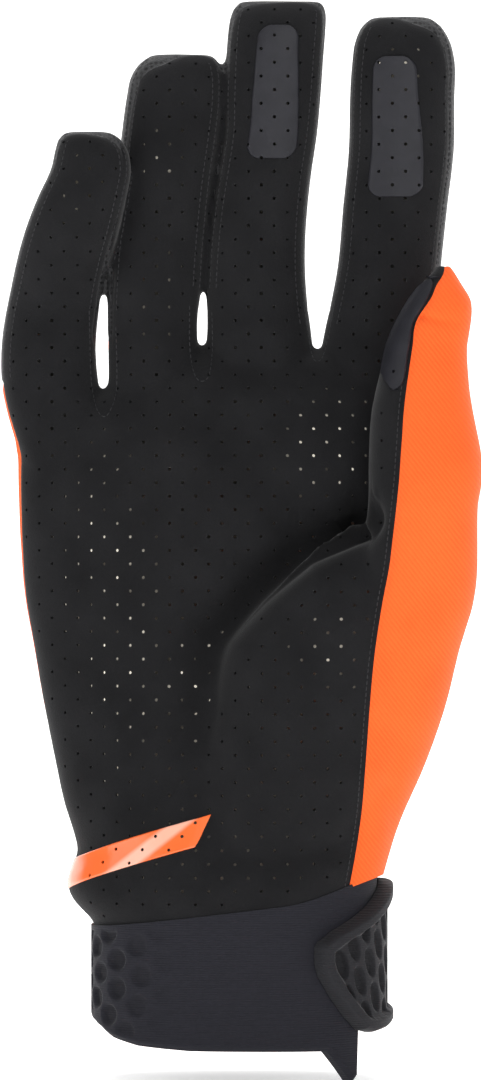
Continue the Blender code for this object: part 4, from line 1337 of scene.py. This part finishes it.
def film(name, colour, reflection_colour):
    """Coated film with painted reflections as pale streaks: each is strongest on its own
    line across a direction, and falls off to both sides."""
    material, tree, shader = material_of(name, colour, 0.22, Coat_Weight=0.6, Coat_Roughness=0.12)
    place = node(tree, "TexCoord").outputs["Object"]
    painted_reflections = 0.0
    for shine in SHINES:
        reach = node(tree, "VectorMath", {0: place, 1: shine.across}, operation="DOT_PRODUCT")
        off = node(tree, "Math", {0: reach.outputs["Value"], 1: shine.middle}, operation="SUBTRACT")
        gap = node(tree, "Math", {0: off.outputs[0]}, operation="ABSOLUTE")
        fall = {"From Min": shine.wide * SHINE_CORE, "From Max": shine.wide}
        fall.update({"Value": gap.outputs[0], "To Min": shine.level, "To Max": 0.0})
        level = node(tree, "MapRange", fall, interpolation_type="SMOOTHSTEP")
        both = {0: level.outputs[0], 1: painted_reflections}
        painted_reflections = node(tree, "Math", both, operation="MAXIMUM").outputs[0]
    grain = node(tree, "TexNoise", {"Vector": place, "Scale": 700, "Detail": 3})
    return finished(material, tree, shader, blend(tree, painted_reflections, colour, reflection_colour), grain.outputs["Fac"], 0.12)


# The second colour is the pale tint of the painted reflections.
film_orange = film("film_orange", (1.0, 0.160, 0.028), (1.0, 0.58, 0.44))
stripe = lay_on_skin(stripe_guide(*STRIPE_GRID), STRIPE_THICKNESS, "stripe")
pierce(stripe)
place_piece(stripe, film_orange, "film_orange", "accent_stripe")

# Cuff
# A tube of thin neoprene with a jersey face. Its outer side carries a fan of sunk
# cells that fade towards the palm, and its mouth ends in a tail beside the closure.

CUFF_WALL = 0.0025
CUFF_EDGE = 0.0009
CUFF_EDGE_RUN = 0.0012
CUFF_INNER_CURL = 0.4
CUFF_TUCK = 0.0006
CUFF_GRID = (420, 70)
CELL_CENTRE_Z = 0.0170
CELL_RING = 0.0062
CELLS_FIRST = 5
CELLS_MORE = 5
CELL_FADE = (0.010, 0.034)
CELL_DEPTH = 0.0011
# Painted shade: the cuff's and the tab's colour in their sunk cells is darkened down to this share.
CELL_PAINTED_SHADE = 0.65

# Columns: degrees round from the front, and height as a share of the wrist seam's.
Mouth = namedtuple("Mouth", "turn height")
CUFF_MOUTH = (
    Mouth(-180, 0.07),
    Mouth(-130, 0.13),
    Mouth(-90, 0.21),
    Mouth(-70, 0.16),
    Mouth(-57, 0.09),
    Mouth(-40, 0.04),
    Mouth(-15, 0.01),
    Mouth(38, 0.00),
    Mouth(46, -0.12),
    Mouth(54, -0.235),
    Mouth(56.2, -0.22),
    Mouth(57.5, 0.15),
    Mouth(90, 0.17),
    Mouth(130, 0.11),
    Mouth(180, 0.07),
)


def wrist_grid(turn, z, proud):
    """Points on the cuff's outer face, at angles from the front and heights."""
    x, _, wide, deep = section_of(HAND, HAND_ROWS[0].along)
    power = 2 / TUBE_SQUARENESS
    px = x + (wide + proud) * signed_power(np.sin(turn), power)
    py = -(deep + proud) * signed_power(np.cos(turn), power)
    return np.stack([px, py, z + 0 * px], axis=-1)


def oval(u, v, wide, high, core, end):
    """1 in the middle of an oval and 0 past its end, in a cell that spans -1 to 1."""
    return 1 - ease((u / wide) ** 2 + (v / high) ** 2, core, end)


def cell_depth(arc, z):
    """How far the cuff is sunk: a fan of rounded cells about a point on its outer side,
    in rings that widen outwards, each ring set over by half a cell, fading with reach."""
    radius = np.hypot(arc, z - CELL_CENTRE_Z)
    angle = np.arctan2(z - CELL_CENTRE_Z, arc)
    number = np.floor(radius / CELL_RING)
    count = CELLS_FIRST + CELLS_MORE * number
    u = 2 * (radius / CELL_RING - number) - 1
    v = 2 * np.mod(angle / (2 * math.pi) * count + number * 0.5, 1) - 1
    return CELL_DEPTH * oval(u, v, 0.86, 0.78, 0.35, 1.2) * (1 - ease(radius, *CELL_FADE))


def closed_rings(loops, name):
    """A solid whose rings of points run round it and close on the first ring."""
    loops = np.asarray(loops)
    total, count = loops.shape[:2]
    faces = grid_faces(total + 1, count, closed=True) % (total * count)
    return closed_mesh(name, loops, faces)


def run_round(turns):
    """How far round the wrist's outer face each angle lies."""
    steps = np.linalg.norm(np.diff(wrist_grid(turns, 0.0, 0.0), axis=0), axis=1)
    return np.concatenate([[0], np.cumsum(steps)])


def cuff_rings(around, levels):
    """Rings of the cuff: up its outer face, over a rounded edge and down its inside."""
    keys = np.radians([row.turn for row in CUFF_MOUTH])
    even = np.linspace(-math.pi, math.pi, around, endpoint=False)
    turns = np.sort(np.concatenate([even, keys[1:-1]]))
    low = np.interp(turns, keys, [row.height * WRIST_SEAM_HEIGHT for row in CUFF_MOUTH])
    rim = [(share, 0.0) for share in np.linspace(0, 1, levels)]
    roll = [(1.0, -CUFF_WALL * k / 4) for k in (1, 2, 3)]
    inside = [(share, -CUFF_WALL) for share in np.linspace(1, 0, levels // 3)]
    foot = [(0.0, -CUFF_WALL * k / 4) for k in (3, 2, 1)]
    run = run_round(turns)
    arc = run - np.interp(-math.pi / 2, turns, run)
    loops, depths = [], []
    for share, inward in rim + roll + inside + foot:
        x = wrist_grid(turns, 0.0, inward)[:, 0]
        top = wrist_seam_z(x) + CUFF_TUCK
        z = low + (top - low) * share
        outer = inward > -CUFF_WALL / 8
        curl = CUFF_EDGE * ((1 - ease(z - low, 0, CUFF_EDGE_RUN)) if outer else CUFF_INNER_CURL)
        margin = ease(z - low, 0.001, 0.003) * ease(top - z, 0.0006, 0.002)
        sunk = cell_depth(arc, z) * margin * outer
        depths.append(sunk / CELL_DEPTH)
        loops.append(wrist_grid(turns, z, inward - sunk - curl))
    return loops, np.array(depths)


def note_cell_shade(obj, sunk):
    """Keeps how far each point lies in a cell, from 0 to 1, for the material's painted shade."""
    values = np.zeros(len(obj.data.vertices))
    values[:sunk.size] = sunk.ravel()
    note(obj, "sunk", values)


def neoprene(name, colour, light, scale):
    """A jersey face: noise for the yarn, level rows for the knit, and painted shade in the cells."""
    material, tree, shader = material_of(name, colour, 0.8, Sheen_Weight=0.08, Sheen_Roughness=0.4,
                                         Specular_IOR_Level=0.3)
    place = node(tree, "TexCoord").outputs["Object"]
    jersey = node(tree, "TexNoise", {"Vector": place, "Scale": scale, "Detail": 5, "Roughness": 0.6})
    knit = {"Vector": place, "Scale": 600, "Distortion": 1.5, "Detail": 2}
    rows = node(tree, "TexWave", knit, bands_direction="Z")
    both = node(tree, "Math", {0: jersey.outputs["Fac"], 1: rows.outputs["Fac"]}, operation="ADD")
    yarn = blend(tree, jersey.outputs["Fac"], colour, light, 0.3, 0.75)
    # Painted shade in the sunk cells.
    with_cell_shade = with_painted_shade(tree, yarn, "sunk", CELL_PAINTED_SHADE)
    return finished(material, tree, shader, with_cell_shade, both.outputs[0], 0.3)


neoprene_dark = neoprene("neoprene_dark", (0.0085, 0.0085, 0.0135), (0.0150, 0.0150, 0.0220), 1500)
cuff_loops, cuff_sunk = cuff_rings(*CUFF_GRID)
cuff = closed_rings(cuff_loops, "cuff_sleeve")
note_cell_shade(cuff, cuff_sunk)
place_piece(cuff, neoprene_dark, "neoprene_dark", "cuff")

# Closure tab
# The moulded end of the wrist closure, wrapped round from the back: a raised rounded
# rim about a field of upright oval cells.

TAB_FIELD = 0.0016
TAB_RIM = 0.0029
TAB_RIM_WIDTH = 0.0034
TAB_SEAM_CLEARANCE = 0.0008
TAB_CELL = 0.0011
TAB_CELL_WIDE = 0.0038
TAB_CELL_HIGH = 0.0078
TAB_SLANT = 0.22
TAB_ROUND = 0.0012
TAB_FOOT = 0.0005
TAB_GRID = (360, 110)

# Columns: degrees round from the front, and both edges as shares of the wrist seam's
# height.
TabRow = namedtuple("TabRow", "turn low high")
TAB_ROWS = (
    TabRow(30.0, 0.64, 0.76),
    TabRow(31.5, 0.55, 0.80),
    TabRow(34.7, 0.47, 0.83),
    TabRow(38.0, 0.39, 0.87),
    TabRow(44.9, 0.26, 0.92),
    TabRow(53.6, 0.15, 0.98),
    TabRow(62.0, 0.125, 1.04),
    TabRow(73.0, 0.14, 1.12),
    TabRow(84.0, 0.17, 1.19),
    TabRow(96.0, 0.19, 1.24),
    TabRow(110.0, 0.21, 1.20),
    TabRow(125.0, 0.23, 1.12),
    TabRow(140.0, 0.25, 1.00),
    TabRow(155.0, 0.27, 0.96),
    TabRow(159.0, 0.28, 0.95),
    TabRow(164.0, 0.30, 0.93),
)


def oval_cells(across, up, wide, high):
    """1 inside upright ovals and 0 on the ridges between them, in columns that are each
    set over by half an oval."""
    column = across / wide
    number = np.floor(column)
    u = 2 * (column - number) - 1
    v = 2 * np.mod(up / high + number * 0.5, 1) - 1
    return oval(u, v, 0.80, 0.86, 0.45, 1.15)


def tab_sheet(around, levels):
    """The tab as two grids: heights between its edges, thick at the rim, sunk in cells."""
    keys = np.radians([row.turn for row in TAB_ROWS])
    turns = np.linspace(keys[0], keys[-1], around)
    x = wrist_grid(turns, 0.0, 0.0)[:, 0]
    low = np.interp(turns, keys, [row.low for row in TAB_ROWS]) * WRIST_SEAM_HEIGHT
    high = np.interp(turns, keys, [row.high for row in TAB_ROWS]) * WRIST_SEAM_HEIGHT
    high = np.minimum(high, wrist_seam_z(x) - TAB_SEAM_CLEARANCE)
    share = (1 - np.cos(np.linspace(0, math.pi, levels))) / 2
    z = low[:, None] + (high - low)[:, None] * share[None, :]
    run = run_round(turns)
    arc = run[:, None] * np.ones((1, levels))
    outline = np.concatenate([np.stack([run, low], 1), np.stack([run, high], 1)[::-1]])
    outline = np.concatenate([outline, outline[:1]])
    flat = np.stack([arc.ravel(), z.ravel()], 1)
    gap = distance_to(outline, flat)[0].reshape(arc.shape)
    rounded = np.sqrt(np.clip(1 - (1 - np.clip(gap / TAB_ROUND, 0, 1)) ** 2, 0, 1))
    rim = 1 - ease(gap, TAB_RIM_WIDTH * 0.72, TAB_RIM_WIDTH * 1.1)
    cells = oval_cells(arc + TAB_SLANT * z, z, TAB_CELL_WIDE, TAB_CELL_HIGH)
    sunk = TAB_CELL * cells * (1 - rim)
    thick = (TAB_FOOT + (TAB_FIELD + (TAB_RIM - TAB_FIELD) * rim) * rounded) - sunk
    outer = wrist_grid(turns[:, None], z, SEAM_GAP + thick)
    inner = wrist_grid(turns[:, None], z, SEAM_GAP * np.ones_like(thick))
    return outer, inner, sunk / TAB_CELL


tab_dark = neoprene("tab_dark", (0.012, 0.012, 0.0145), (0.021, 0.021, 0.025), 2200)
tab_outer, tab_inner, tab_sunk = tab_sheet(*TAB_GRID)
tab = sheet_between(tab_outer, tab_inner, "closure_tab_piece")
note_cell_shade(tab, tab_sunk)
place_piece(tab, tab_dark, "tab_dark", "closure_tab")
